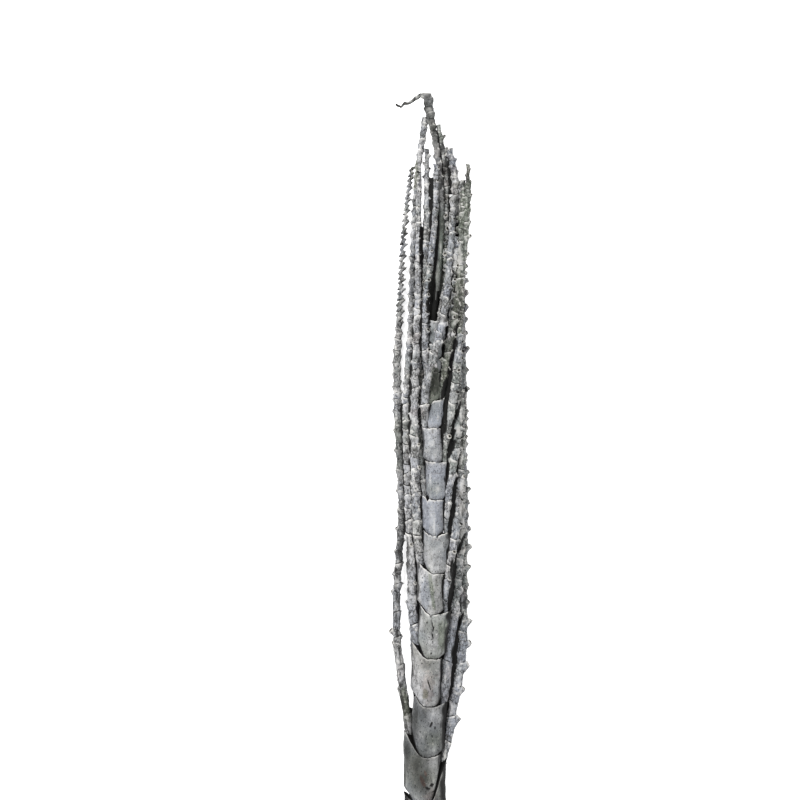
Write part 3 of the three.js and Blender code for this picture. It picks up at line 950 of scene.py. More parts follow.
# Rings of one joint, in radii from its start and in radii before its mouth: place, width, painted shade and lip.
JOINT_START = np.array([(-0.24, 0.90, 1.0, 0.0), (0.08, 0.94, 0.8, 0.0), (0.40, 0.98, 0.2, 0.0)])
JOINT_MOUTH = np.array(
    [
        (1.45, 1.03, 0.0, 0.0), (0.95, 1.07, 0.0, 0.1), (0.55, 1.12, 0.0, 0.35), (0.26, 1.16, 0.0, 0.8),
        (0.08, 1.16, 0.0, 1.0), (0.00, 1.09, 0.4, 0.7), (0.12, 0.99, 1.0, 0.0),
    ]
)
BODY_RINGS = 6
SHORTEST_JOINT = 2.4
TUBE_SIDES = 24
TUBE_ANGLES = round_angles(TUBE_SIDES)

# How joints grow: how unequal they are, how the way that they look wanders, in degrees and millimetres, and
# how far they lean, in radii, from the root to the end of a run.
FIRST_SEED = 100
JOINT_LENGTHS = (0.84, 1.16)
WANDER = 24.0
WANDER_RUN = 85.0
WANDER_PHASE = 1.7
WANDER_JITTER = 16.0
OUTLINE_WANDER = 0.4
ROOT_LEAN = 0.08
LEAN_RUN = (10, 230)

# A joint's own draws: shades of olive, blue and rust, its lip and a spare one, and how far its mouth flares.
JOINT_SHADES = 5
LEAST_FLARE = 0.12
FLARE_POWER = 1.8
TUCKED_WIDTH = 1.03

# How a mouth slants towards its stub and bulges below it, in radii and radians, and how lumpy the skin is.
SLANT = 0.42
MOUTH_SLANT_RUN = 2.2
START_SLANT_RUN = 1.2
BOSS = 0.26
BOSS_TURN = 0.85
BOSS_BELOW = 0.5
BOSS_RUN = 0.55
LUMPS = 0.19
RIDGES = 0.05
SWAY_RUN = (640, 700)

# The dark fill of painted shade on a line's lower side: how far it reaches out, how it fades up the line's side
# and before its end, and how the reach is found.
SHADE_FILL_REACH = 3.4
SHADE_FILL_HEIGHT = (0.0, 0.42)
SHADE_FILL_FADE = 35.0
SHADE_FILL_STEPS = 4
SHADE_FILL_STEP = 0.95
SHADE_FILL_TOUCH = 0.9

# Painted shade where a neighbour is close, in millimetres, and where upward fronts are kept free of it.
CLOSE = (0.3, 3.2)
CLOSE_DARK = 0.95
SIDE_STEP = 3.0
CLOSE_SIDE = (-0.6, 2.6)
SIDE_HEIGHT = (0.3, 0.86)
MARKED_ABOVE = -0.2
LOW_FRONT = 0.7
LOW_FRONT_HEIGHT = (0.1, 0.7)
LOW_FRONT_RUN = (560, 680)
OPEN_FRONT = 0.85
OPEN_FRONT_HEIGHT = (-0.1, 0.5)
OPEN_RUN = 20.0
OPEN_ROOT = 14.0
OPEN_BARE = 12.0
DIM_RUN = 40.0

# Rings of one stub: share of its length, width, painted shade, lip and cut, out along the side and in over the
# end.
STUB_RINGS = np.array(
    [
        (0.00, 1.28, 0.7, 0.0, 0.0), (0.32, 1.16, 0.3, 0.0, 0.0), (0.56, 1.04, 0.0, 0.0, 0.0),
        (0.78, 1.00, 0.0, 0.1, 0.0), (0.93, 0.98, 0.0, 0.6, 0.1), (1.00, 0.82, 0.0, 1.0, 0.5),
        (0.985, 0.58, 0.3, 0.3, 1.0), (0.92, 0.28, 0.9, 0.0, 1.0),
    ]
)

STUB_SIDES = 12

# A stub's reach and width at the root and past the end of a run, in millimetres, and how both are drawn.
STUB_RUN = 340.0
STUB_REACH = (3.6, 2.2)
STUB_REACHES = (0.6, 1.25)
STUB_THICK = (3.1, 1.9)
STUB_THICKS = (0.82, 1.12)
STUB_LEAN = 56.0
STUB_LEANS = (-11, 14)
STUB_ROOT = 0.94
STUB_SUNK = 1.5
STUB_SLANT = 0.35
STUB_LUMPS = 0.22
# Painted shade on a stub near a neighbour: how near and how dark; then how many stubs are broken short, how
# short, and the chance of each kind of end.
STUB_CLOSE = (0.3, 2.6)
STUB_DARK = 0.8
SCARRED = 0.36
SCAR_REACH = 0.25
END_CHANCES = {CutEnd.PALE: 0.3, CutEnd.GREY: 0.4, CutEnd.DARK: 0.3}

# How clear a stub's end is kept of the surface, the stalk and the other lines, in its own radii.
STUB_OFF_FLOOR = 0.8
STUB_OFF_STALK = 0.35
STUB_OFF_LINE = 0.6

# What a stub may do where a neighbour is in its way: degrees that it turns aside, and its share of its reach.
STUB_TRIES = ((0, 1), (24, 1), (-24, 1), (50, 0.9), (-50, 0.9), (0, 0.6), (85, 0.7), (-85, 0.7), (0, 0.3))


class JointedTube:
    """A line of joints, each with a flared mouth from which one broken stub stands out, side after side."""

    def __init__(self, plan: BranchPlan, line: Line, bundle: Bundle, own: int, bare_until: float = 0) -> None:
        """Work out where the joints meet and which way each stub looks.

        Args:
            plan: How the line is jointed and tinted.
            line: Where it runs.
            bundle: All lines, which the stubs keep clear of.
            own: The line's number in the bundle.
            bare_until: Station up to which the line is one smooth joint.
        """
        self.plan, self.line, self.bundle, self.own = plan, line, bundle, own
        self.random = np.random.default_rng(FIRST_SEED + own)
        self.ends = self.joint_ends(bare_until)
        self.radii = line.read(line.radius, self.ends)
        nodes = len(self.ends)
        run = self.ends - line.start
        wander = WANDER * np.sin(run / WANDER_RUN + own * WANDER_PHASE)
        wander = wander + self.random.uniform(-WANDER_JITTER, WANDER_JITTER, nodes)
        wander[: 2 * len(plan.outer) + 1] *= OUTLINE_WANDER
        outside = 0 if plan.name.startswith("branch_r") else 180
        self.looks = np.radians(plan.twist + wander + outside + 180 * (np.arange(nodes) % 2))
        lean = self.radii * mix(ROOT_LEAN, plan.zigzag, smoothstep(run, *LEAN_RUN))
        lean[0] = 0.0
        self.leans = lean[:, None] * stacked(*around(self.looks))
        self.shades = self.random.uniform(-1, 1, (nodes, JOINT_SHADES))
        self.flares = mix(LEAST_FLARE, 1.0, self.random.uniform(0, 1, nodes) ** FLARE_POWER)
        self.shade_fill_ends = (plan.shade_fill_until - SHADE_FILL_FADE, plan.shade_fill_until)
        self.open_until = max(line.start + OPEN_ROOT, bare_until - OPEN_BARE)

    def joint_ends(self, bare_until: float) -> Array:
        """Work out where the joints meet, from root to tip.

        Args:
            bare_until: Station up to which the line is one smooth joint.

        Returns:
            Stations.
        """
        plan, line = self.plan, self.line
        ends = [line.start]
        if bare_until > line.start:
            ends.append(bare_until)
        for place, _ in plan.outer:
            ends += [(ends[-1] + place) / 2, place]
        kept = len(ends) - 1
        while ends[-1] < line.end:
            run = ends[-1] - line.start
            length = plan.tip_joint + (plan.root_joint - plan.tip_joint) * math.exp(-run / plan.joint_run)
            ends.append(ends[-1] + length * self.random.uniform(*JOINT_LENGTHS))
        whole = np.array(ends)
        last = whole[kept]
        whole[kept:] = last + (whole[kept:] - last) * (line.end - last) / (whole[-1] - last)
        return whole

    def axis(self, y: Array) -> tuple[Array, Array, Array, Array]:
        """Read the line with the lean of its joints.

        Args:
            y: Stations.

        Returns:
            The line's middle, direction, sideways and upward directions at each distance.
        """
        middle = self.line.middle(y)
        direction = self.line.middle(y + 1.5) - self.line.middle(y - 1.5)
        direction[..., 1] = np.maximum(direction[..., 1], 0.5)
        direction /= np.linalg.norm(direction, axis=-1, keepdims=True)
        across, up = crosswise(direction)
        lean = [np.interp(y, self.ends, self.leans[:, part]) for part in (0, 1)]
        return middle + lean[0][..., None] * across + lean[1][..., None] * up, direction, across, up

    def tint(self, points: Array, node: Array) -> Array:
        """Tint the skin of the joints, with patches that drift over them and a shade of each joint's own.

        Args:
            points: Points of the skin.
            node: The joint that each point belongs to.

        Returns:
            Olive, blue and rust of each point.
        """
        plan, shades = self.plan, self.shades[node]
        drift = [noise(points, size, seed) for size, seed in ((38, 61), (27, 62), (19, 63))]
        olive = plan.olive + 0.3 * drift[0] + 0.16 * shades[..., 0]
        blue = plan.blue + 0.35 * drift[1] + 0.2 * shades[..., 1]
        rust = 0.4 * drift[2] - 0.1 + 0.15 * shades[..., 2]
        return np.clip(stacked(olive, blue, rust), 0, 1)

    def clearance(self, points: Array) -> Array:
        """How far each point is from the nearest other branch or the stalk."""
        beside = self.bundle.clearance(points, self.own)
        return beside if self.own >= len(BRANCHES) else np.minimum(beside, off_stalk(points))

    def shade_fill(self, places: Array, outward: Array, height: Array) -> Array:
        """How far the line's lower side reaches out towards a close neighbour, below its front, as a dark fill of
        painted shade.

        Args:
            places: Points of the line's skin.
            outward: Which way each point looks.
            height: How far each point looks up, from -1 to 1.

        Returns:
            The reach at each point, 0 where no neighbour is close.
        """
        reach = np.zeros(places.shape[:-1])
        for _ in range(SHADE_FILL_STEPS):
            away = self.clearance(places + reach[..., None] * outward)
            reach += SHADE_FILL_STEP * np.maximum(away, 0)
        low = (1 - smoothstep(height, *SHADE_FILL_HEIGHT)) * (1 - smoothstep(places[..., 1], *self.shade_fill_ends))
        return np.where((away < SHADE_FILL_TOUCH) & (reach < SHADE_FILL_REACH), reach * low, 0)

    def ring_rows(self) -> tuple[Array, Array, Array, Array]:
        """Lay the rings of every joint along the line, slanted towards the stubs at either end of it.

        Returns:
            Each ring's and each ring point's station, each joint's unit of length, and width, painted shade
            and lip by ring.
        """
        start, end = self.ends[:-1, None], self.ends[1:, None]
        unit = np.minimum(self.radii[1:, None], (end - start) / SHORTEST_JOINT)
        share = np.linspace(0, 1, BODY_RINGS + 2)[1:-1]
        body = mix(start + JOINT_START[-1, 0] * unit, end - JOINT_MOUTH[0, 0] * unit, share)
        y = np.concatenate([start + JOINT_START[:, 0] * unit, body, end - JOINT_MOUTH[:, 0] * unit], axis=1)
        plain = np.zeros((BODY_RINGS, 3))
        plain[:, 0] = mix(JOINT_START[-1, 1], JOINT_MOUTH[0, 1], share)
        near_mouth = smoothstep(y, end - MOUTH_SLANT_RUN * unit, end)[..., None]
        near_start = 1 - smoothstep(y, start, start + START_SLANT_RUN * unit)[..., None]
        slant = SLANT * unit[..., None] * np.cos(TUBE_ANGLES - self.looks[1:, None, None]) * near_mouth
        slant += SLANT * unit[..., None] * np.cos(TUBE_ANGLES - self.looks[:-1, None, None]) * near_start
        ring_y = np.clip(y[..., None] + slant, self.line.start, self.line.end)
        return y, ring_y, unit, np.concatenate([JOINT_START[:, 1:], plain, JOINT_MOUTH[:, 1:]])

    def ring_radii(self, y: Array, ring_y: Array, unit: Array, width: Array) -> Array:
        """Work out how wide the joints are, with the bulge that each mouth has under its stub.

        Args:
            y: Each ring's station.
            ring_y: Each ring point's station.
            unit: Each joint's unit of length.
            width: Each ring's width, in radii.

        Returns:
            The radius at each ring point, without its lumps.
        """
        flared = mix(TUCKED_WIDTH, width, self.flares[1:, None])[..., None]
        radii = along(self.plan.girth, 1, ring_y) * self.line.read(self.line.radius, ring_y) * flared
        apart = (TUBE_ANGLES - self.looks[1:, None, None] + math.pi) % (2 * math.pi) - math.pi
        below = ((self.ends[1:, None] - y) / unit - BOSS_BELOW) ** 2
        boss = np.exp(-((apart / BOSS_TURN) ** 2)) * np.exp(-below / BOSS_RUN)[..., None]
        return radii + BOSS * self.radii[1:, None, None] * boss

    def neighbour_shade(self, places: Array, ring_y: Array) -> Array:
        """Paint shade on the skin where a neighbour is close, and keep it off open, upward fronts.

        Args:
            places: Points of the skin.
            ring_y: Each ring point's station.

        Returns:
            How dark each point is, from 0 to 1.
        """
        cosine, sine = around(TUBE_ANGLES)
        near = CLOSE_DARK * (1 - smoothstep(self.clearance(places), *CLOSE))
        sideways = np.zeros_like(places)
        sideways[..., 0] = SIDE_STEP * np.sign(cosine)
        beside = self.clearance(places + sideways)
        side = (1 - smoothstep(beside, *CLOSE_SIDE)) * (1 - smoothstep(sine, *SIDE_HEIGHT))
        near = np.maximum(near, side)
        low_front = smoothstep(sine, *LOW_FRONT_HEIGHT) * (1 - smoothstep(ring_y, *LOW_FRONT_RUN))
        rooted = 1 - smoothstep(ring_y, self.open_until, self.open_until + OPEN_RUN)
        near = near * (1 - LOW_FRONT * low_front)
        return near * (1 - OPEN_FRONT * smoothstep(sine, *OPEN_FRONT_HEIGHT) * rooted)

    def joint_shade_and_wear(self, rough: Array, places: Array, ring_y: Array, dark: Array, profile: Array) -> Array:
        """Say where the joints carry painted shade and dimming, where their lips are pale, and that nothing of
        them is cut.

        Args:
            rough: Points of the skin before its lumps and its matted sides.
            places: Points of the finished skin.
            ring_y: Each ring point's station.
            dark: How much painted shade each point has from its neighbours and its dark fill.
            profile: Width, painted shade and lip by ring.

        Returns:
            Painted shade with dark marks, lip and cut of each point.
        """
        flares = self.flares[1:, None, None]
        # Painted shade in the fold of each mouth, broken up by noise, and the dimming past `undimmed_until`.
        broken = smoothstep(noise(rough, 4.2, 26) + 1.3 * flares - 0.6, -0.3, 0.4)
        undimmed = self.plan.undimmed_until
        dimming = self.plan.dimming * smoothstep(ring_y, undimmed, undimmed + DIM_RUN)
        shade_and_stains = np.maximum(profile[:, 1, None] * broken, dark)
        shade_and_stains = np.maximum(shade_and_stains, dimming * (1 + 0.8 * noise(places, (14, 30, 14), 27)))
        ragged = 0.5 + 0.5 * noise(rough, 2.6, 24)
        lips = profile[:, 2, None] * smoothstep(ragged + 0.3 * self.shades[1:, None, None, 3], 0.45, 0.9)
        return stacked(shade_and_stains, lips, 0.0)

    def add_joints(self, skin: Skin) -> None:
        """Add the joints themselves to a skin, as one tube with a deep fold at each mouth.

        Args:
            skin: The skin to add to.
        """
        y, ring_y, unit, profile = self.ring_rows()
        start, end = self.ends[:-1, None, None], self.ends[1:, None, None]
        middle, _, across, up = self.axis(ring_y)
        slide = self.plan.sway * (np.clip((ring_y - start) / (end - start), 0, 1) - 0.5)
        slide = slide * self.radii[1:, None, None] * smoothstep(ring_y, *SWAY_RUN)
        middle = middle + slide[..., None] * across
        cosine, sine = around(TUBE_ANGLES)
        outward = cosine[:, None] * across + sine[:, None] * up
        rough = middle + self.ring_radii(y, ring_y, unit, profile[:, 0])[..., None] * outward
        chunk = 0.7 * noise(rough, 2.8, 21) + 0.5 * noise(rough, (6, 8, 6), 22) + 0.5 * noise(rough, 1.5, 25)
        ridge = noise(rough, (1.5, 11.0, 1.5), 23)
        lumps = self.radii[1:, None, None] * (LUMPS * chunk + RIDGES * ridge)
        places = rough + lumps[..., None] * outward
        # The lower sides reach out to a close neighbour as a dark fill that paints the shade between them.
        reach = self.shade_fill(places, outward, sine)
        places = places + reach[..., None] * outward
        dark = smoothstep(reach, 0.1, 1.0)
        dark = np.maximum.reduce([dark, np.roll(dark, 1, axis=-1), np.roll(dark, -1, axis=-1)])
        # Painted shade where a neighbour is close.
        dark = np.maximum(dark, self.neighbour_shade(places, ring_y))
        shade_and_wear = self.joint_shade_and_wear(rough, places, ring_y, dark, profile)
        node = np.broadcast_to(np.arange(1, len(self.ends))[:, None, None], ring_y.shape)
        tint = self.tint(places, node)
        apply_marks(BRANCH_MARKS, places, np.broadcast_to(sine > MARKED_ABOVE, ring_y.shape), shade_and_wear, tint)
        rings = (-1, TUBE_SIDES)
        relief = chunk * 0.8 + ridge * 0.4
        skin.add_tube(
            places.reshape(*rings, 3), shade_and_wear.reshape(*rings, 3), tint.reshape(*rings, 3), relief.reshape(rings)
        )

    def is_clear(self, tip: Array, radius: float) -> bool:
        """Whether the end of a stub is clear of the surface, the stalk and the other lines.

        Args:
            tip: The middle of the stub's end.
            radius: The stub's radius.

        Returns:
            Whether it runs into nothing.
        """
        if tip[2] < STUB_OFF_FLOOR * radius or tip[2] + STUB_OFF_FLOOR * radius > HIGHEST:
            return False
        if self.own < len(BRANCHES) and off_stalk(tip) < STUB_OFF_STALK * radius:
            return False
        for index, line in enumerate([*self.bundle.lines, self.bundle.terminal]):
            if index == self.own or not line.start <= tip[1] <= line.end:
                continue
            away = math.hypot(tip[0] - line.read(line.x, tip[1]), tip[2] - line.read(line.z, tip[1]))
            if away < float(line.read(line.radius, tip[1])) + STUB_OFF_LINE * radius:
                return False
        return True

    def add_stubs(self, skin: Skin, first_y: float) -> int:
        """Add the broken stub at each mouth to a skin.

        Args:
            skin: The skin to add to.
            first_y: Stubs nearer to the foot than this are hidden in the sheath and left out.

        Returns:
            How many stubs were added.
        """
        added = 0
        middles, directions, acrosses, ups = self.axis(self.ends)
        reaches = dict(self.plan.outer)
        for node in range(1, len(self.ends) - 1):
            place = float(self.ends[node])
            if place < first_y:
                continue
            radius = float(self.radii[node] * along(self.plan.girth, 1, place))
            share = smoothstep(place - self.line.start, 0, STUB_RUN)
            scarred = self.random.uniform() < SCARRED
            reach = float(mix(*STUB_REACH, share)) * self.plan.stub * self.random.uniform(*STUB_REACHES)
            reach = reaches.get(place, reach * SCAR_REACH if scarred else reach)
            broad = self.plan.stub_width if place in reaches else 1.0
            thick = float(mix(*STUB_THICK, share)) * broad * self.random.uniform(*STUB_THICKS)
            lean = math.radians(mix(self.plan.stub_lean, STUB_LEAN, share) + self.random.uniform(*STUB_LEANS))
            for turn, size in STUB_TRIES:
                look = self.looks[node] + math.radians(turn)
                outward = math.cos(look) * acrosses[node] + math.sin(look) * ups[node]
                way = math.cos(lean) * directions[node] + math.sin(lean) * outward
                length = (STUB_ROOT * radius + reach * size) / math.sin(lean)
                width = thick * (0.6 + 0.4 * size)
                root = middles[node] - (length * math.cos(lean) - STUB_SUNK) * directions[node]
                if self.is_clear(root + way * length, width):
                    break
            else:
                length, width = 1.15 * radius, thick * 0.8
                root = middles[node] - 0.6 * radius * directions[node]
            self.add_stub(skin, node, root, way * length, width, broad)
            added += 1
        return added

    def add_stub(self, skin: Skin, node: int, root: Array, reach: Array, width: float, broad: float) -> None:
        """Add one stub with its broken end.

        Args:
            skin: The skin to add to.
            node: The joint end that it stands on.
            root: Its root, inside the mouth.
            reach: From its root to the middle of its end.
            width: Its radius.
            broad: How much wider its root is than its end, from 1 up.
        """
        way = reach / np.linalg.norm(reach)
        across, up = crosswise(way)
        cosine, sine = around(round_angles(STUB_SIDES))
        ring = cosine[:, None] * across + sine[:, None] * up
        slant = self.random.uniform(-STUB_SLANT, STUB_SLANT, 2) * width
        tilt = (cosine * slant[0] + sine * slant[1]) * smoothstep(STUB_RINGS[:, 0], 0.5, 1)[:, None]
        places = root + STUB_RINGS[:, 0, None, None] * reach
        places = places + tilt[..., None] * way * STUB_RINGS[:, 1, None, None]
        widths = STUB_RINGS[:, 1] * (1 + 0.3 * (broad - 1) * (1 - STUB_RINGS[:, 0]))
        places = places + width * widths[:, None, None] * ring
        bumps = noise(places, 2.2, 31 + node)
        places = places + (STUB_LUMPS * width * bumps)[..., None] * ring
        style = self.random.choice(list(END_CHANCES), p=list(END_CHANCES.values()))
        shade_and_stain, lip, cut = (np.repeat(STUB_RINGS[:, column, None], STUB_SIDES, axis=1) for column in (2, 3, 4))
        on_end = cut > 0
        # Painted shade at the stub's root, in its hollow end and beside close neighbours; a dark end is painted
        # shade as well.
        shade_and_stain = np.where(on_end, shade_and_stain, shade_and_stain * max(0.0, 2.0 - broad * 1.15))
        near = STUB_DARK * (1 - smoothstep(self.clearance(places), *STUB_CLOSE))
        shade_and_stain = np.where(on_end, np.maximum(shade_and_stain, cut * (1 - style.value)), np.maximum(shade_and_stain, near))
        lip = lip * (0.35 + 0.65 * style.value)
        tint = self.tint(places, np.full(shade_and_stain.shape, node))
        skin.add_tube(places, stacked(shade_and_stain, lip, cut), tint, bumps)


# The cross-section of a web, a sheet that paints the shade between two lines: share of the way to the neighbour,
# and half thicknesses up.
WEB_RING = np.array([(0.9, 1), (0.65, 1), (0.35, 1), (0.1, 1), (0.1, -1), (0.35, -1), (0.65, -1), (0.9, -1)])

# A web's rows, the gaps that it fills, how it sags between its lines, and the bite out of its upper end.
WEB_STEP = 4.0
WEB_GAPS = (-2.5, 9.0)
WEB_HALF = 0.5
WEB_SAG = 1.4
WEB_BITE = 2.4
WEB_BITE_ROWS = 3


def add_webs(
    skin: Skin, bundle: Bundle, own: int, low: float, high: float, dark: float = 0.86, green: float = 0.3
) -> int:
    """Fill the narrow gap at the right of a strand with a sheet; a dark one is painted shade that stands for the
    deep shade there.

    Args:
        skin: The skin to add to.
        bundle: All lines.
        own: The strand's number.
        low: Station at which the webs may start.
        high: Distance at which they end.
        dark: How much painted shade they carry, from 0 to 1.
        green: How olive and blue they are, from 0 to 1.

    Returns:
        How many webs were added.
    """
    y = np.arange(low, high, WEB_STEP)
    number, middle, gap = bundle.beside(own, y)
    wanted = (gap > WEB_GAPS[0]) & (gap < WEB_GAPS[1])
    own_x, own_z, _, _ = bundle.strand(own, y, 0.0)
    share, side = WEB_RING[:, 0], WEB_RING[:, 1]
    added = 0
    start = 0
    while start < len(y):
        stop = start
        while stop < len(y) and wanted[stop] and number[stop] == number[start]:
            stop += 1
        if stop - start > 1:
            added += 1
            run = np.arange(start, stop)
            if stop < len(y) and wanted[stop]:
                run = np.append(run, stop)
            other = middle[np.minimum(run, stop - 1)]
            x = mix(own_x[run, None], other[:, 0, None], share)
            z = mix(own_z[run, None], other[:, 1, None], share) - WEB_SAG * np.sin(math.pi * share)
            places = stacked(x, y[run, None], z + WEB_HALF * side)
            bite = np.clip(WEB_BITE_ROWS - (y[run][-1] - y[run]) / WEB_STEP, 0, WEB_BITE_ROWS)[:, None]
            places[..., 1] -= WEB_BITE * bite * np.sin(math.pi * share) * (1 + 0.4 * noise(places, 5, 93))
            places[..., 2] += 0.5 * noise(places, 3.5, 91)
            # Painted shade on the web, a little uneven.
            shade_and_stain = dark + 0.14 * noise(places, 3.0, 92)
            tint = np.full(places.shape, green) * (1, 1, 0.3)
            skin.add_tube(places, stacked(shade_and_stain, 0.0, 0.0), tint, shade_and_stain - dark)
        start = max(stop, start + 1)
    return added


@dataclass(frozen=True)
class Twig:
    """A thin strand against a branch: its rows of distance, X, height over the branch and radius."""

    branch: str
    rows: tuple[tuple[float, float, float, float], ...]
    twist: float = 35.0

    def tube(self, host: JointedTube) -> JointedTube:
        """Lay the strand beside the branch that carries it.

        Args:
            host: The branch's own joints.

        Returns:
            The strand's joints.
        """
        plan = replace(
            host.plan, outer=(), twist=self.twist, girth=((0, 1.1),), root_joint=9, tip_joint=7, sway=0,
            dimming=0.16, shade_fill_until=0, stub_width=1,
        )
        line = host.line
        rows = [(y, x, float(line.read(line.z, y)) + rise, radius) for y, x, rise, radius in self.rows]
        return JointedTube(plan, Line.sampled(rows), host.bundle, host.own)


TWIGS = (
    Twig("branch_r6", ((690, 29.5, -5, 3.0), (740, 32.5, -1, 3.4), (790, 35, 0, 3.6), (838, 37.5, 0, 3.2))),
    Twig("branch_l5", ((640, 19.5, -6, 3.2), (690, 23.5, -5, 3.6), (730, 25.5, -4, 3.4), (770, 27.5, -4, 3)), 60),
    Twig("branch_r7", ((790, 31, 0, 2.6), (820, 33.5, 1, 2.8), (840, 36, 2, 2.6)), 10),
    Twig("branch_r7", ((730, 13.5, -1, 2.3), (770, 16, 0, 2.5), (815, 15.5, 0, 2.6)), 70),
)


class Piece:
    """One piece of the part, which stands for a node of the frame and rides on its one body."""

    node: str
    finish: str

    def dress(self, piece: Object, material: bpy.types.Material) -> None:
        """Give the piece its skin and its place on the part.

        Args:
            piece: The piece's object.
            material: Its skin.
        """
        piece.data.materials.append(material)
        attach(piece, "root")
        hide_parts(self.node)


@dataclass
class Branch(Piece):
    """One side branch, from inside its sheath to its tip, with its stubs, webs of painted shade and thin
    companions.

    Its stubs start some way past the sheath's rim, and its webs run from below the rim to short of its tip.
    """

    index: int
    bundle: Bundle
    stubs_past_rim: float = 26.0
    webs_below_rim: float = 6.0
    webs_before_tip: float = 2.0
    finish = "branch_skin"

    def __post_init__(self) -> None:
        """Prepare the branch that comes out of the sheath of the same number."""
        self.plan = BRANCHES[self.index]
        self.node = self.plan.name
        self.tube = JointedTube(self.plan, self.bundle.lines[self.index], self.bundle, self.index)
        sheath = SHEATHS[self.index]
        self.rim = float(sheath.rim(sheath.side.angle))

    def build(self) -> Object:
        """Make the branch as one mesh.

        Returns:
            Its object.
        """
        skin = Skin()
        self.tube.add_joints(skin)
        stubs = self.tube.add_stubs(skin, self.rim + self.stubs_past_rim)
        lowest, highest = self.rim - self.webs_below_rim, self.tube.line.end - self.webs_before_tip
        webs = sum(
            add_webs(skin, self.bundle, self.index, max(low, lowest), min(high, highest))
            for low, high in self.plan.webs
        )
        for twig in TWIGS:
            if twig.branch == self.node:
                strand = twig.tube(self.tube)
                strand.add_joints(skin)
                stubs += strand.add_stubs(skin, 0)
        LOG.info("%s: %d joints, %d stubs, %d webs", self.node, len(self.tube.ends) - 1, stubs, webs)
        return skin.finish(f"{self.node}_detail")


class MarkKind(Enum):
    """What a mark on the skin brings: darkness, lip, olive, blue, rust and depth in mm; SHADE and DEEP_SHADE are
    painted shade.
    """

    CRACK = (0.9, 0.0, 0.0, 0.0, 0.0, 0.4)
    PIT = (0.85, 0.0, 0.0, 0.0, 0.3, 0.9)
    SPECK = (0.8, 0.0, 0.0, 0.0, 0.0, 0.2)
    RING = (0.4, 0.0, 0.2, 0.0, 0.2, 0.25)
    SCAR = (0.12, 0.0, 0.0, 0.0, 1.0, 0.15)
    STAIN = (0.0, 0.0, 0.0, 0.0, 0.32, 0.0)
    MOSS = (0.0, 0.0, 0.7, 0.0, 0.0, 0.0)
    PALE = (0.0, 0.16, 0.0, 0.0, 0.0, -0.1)
    BLUE = (0.0, 0.0, 0.0, 0.6, 0.0, 0.0)
    SHADE = (0.57, 0.0, 1.0, 0.0, 0.1, 0.0)
    DEEP_SHADE = (0.95, 0.0, 0.4, 0.0, 0.0, 0.0)
    LICHEN = (0.0, 0.0, 0.45, 0.75, 0.0, 0.0)
    BLEACHED = (0.0, 0.45, 0.0, 0.0, 0.0, -0.1)
    OLD = (0.26, 0.0, 1.0, 0.0, 0.15, 0.0)
    BURNT = (0.62, 0.0, 0.2, 0.0, 0.0, 0.3)


@dataclass(frozen=True)
class Mark:
    """A mark on the front of the skin: its middle, half length, half width and slope, in mm and degrees."""

    kind: MarkKind
    x: float
    y: float
    length: float
    width: float
    slope: float = 90.0

    def share(self, points: Array, front: Array) -> Array:
        """How strongly the mark shows, with a ragged edge and only where the skin looks up.

        Args:
            points: Points of the skin.
            front: Whether each point looks up.

        Returns:
            The mark's share at each point.
        """
        turn = math.radians(self.slope)
        dx, dy = points[..., 0] - self.x, points[..., 1] - self.y
        along_mark = (dx * math.cos(turn) + dy * math.sin(turn)) / self.length
        across_mark = (dy * math.cos(turn) - dx * math.sin(turn)) / self.width
        away = np.sqrt(along_mark**2 + across_mark**2) + 0.25 * noise(points, 2.4, 41)
        return np.where(front, 1 - smoothstep(away, 0.6, 1.2), 0)


def marks(kind: MarkKind, *rows: tuple[float, ...]) -> tuple[Mark, ...]:
    """Make marks of one kind from rows of X, station, half length, half width and slope."""
    return tuple(Mark(kind, *row) for row in rows)


# Marks on the sheaths; the SHADE and DEEP_SHADE ones are painted shade.
MARKS = (
    *marks(
        MarkKind.CRACK,
        (-9, 85, 6, 0.9, 160), (-3.8, 164, 4.5, 1.4, 60), (-6.5, 213, 9, 0.9, 108),
        (-2.4, 288, 5, 0.8, 98), (-1.2, 282, 4, 0.9, 78), (-2.2, 274, 5, 1.0, 104),
    ),
    *marks(MarkKind.PIT, (-3.5, 88, 3.4, 2.2, 20), (-8, 83, 2.6, 1.5, 10)),
    *marks(
        MarkKind.SPECK,
        (-1, 80, 2.2, 1.1, 40), (-2.5, 149, 1.6, 1.2), (1.2, 159, 1.6, 1.2), (-2, 266, 1.2, 1.0),
        (-3.8, 252, 1.8, 1.3), (-9, 290, 1.5, 1.1),
    ),
    *marks(MarkKind.SCAR, (-14.5, 93, 8, 2.4, 115), (-11, 103, 4, 1.6, 110)),
    *marks(MarkKind.STAIN, (-6, 70, 16, 9, 75), (-8, 210, 24, 9)),
    *marks(MarkKind.MOSS, (-11, 201, 8, 4), (11, 273, 26, 8), (-3, 330, 34, 3, 97)),
    *marks(MarkKind.RING, (2.5, 224, 6, 1.2, 8), (2.5, 393, 9, 1.0, 172), (2.5, 475, 7, 1.2, 5)),
    *marks(MarkKind.BLUE, (-11, 325, 24, 8)),
    *marks(
        MarkKind.PALE,
        (-5, 362, 24, 4, 92), (-2, 415, 26, 4.5, 92), (-3.8, 512, 5, 3.4, 40), (-8, 504, 4, 3, 70),
        (-3, 528, 6, 3, 120),
    ),
    *marks(MarkKind.SHADE, (1.5, 587, 22, 6)),
    *marks(MarkKind.DEEP_SHADE, (-3.5, 694, 34, 6.5, 84), (14.5, 541, 22, 3.4, 88), (12.5, 579, 14, 3, 78)),
)

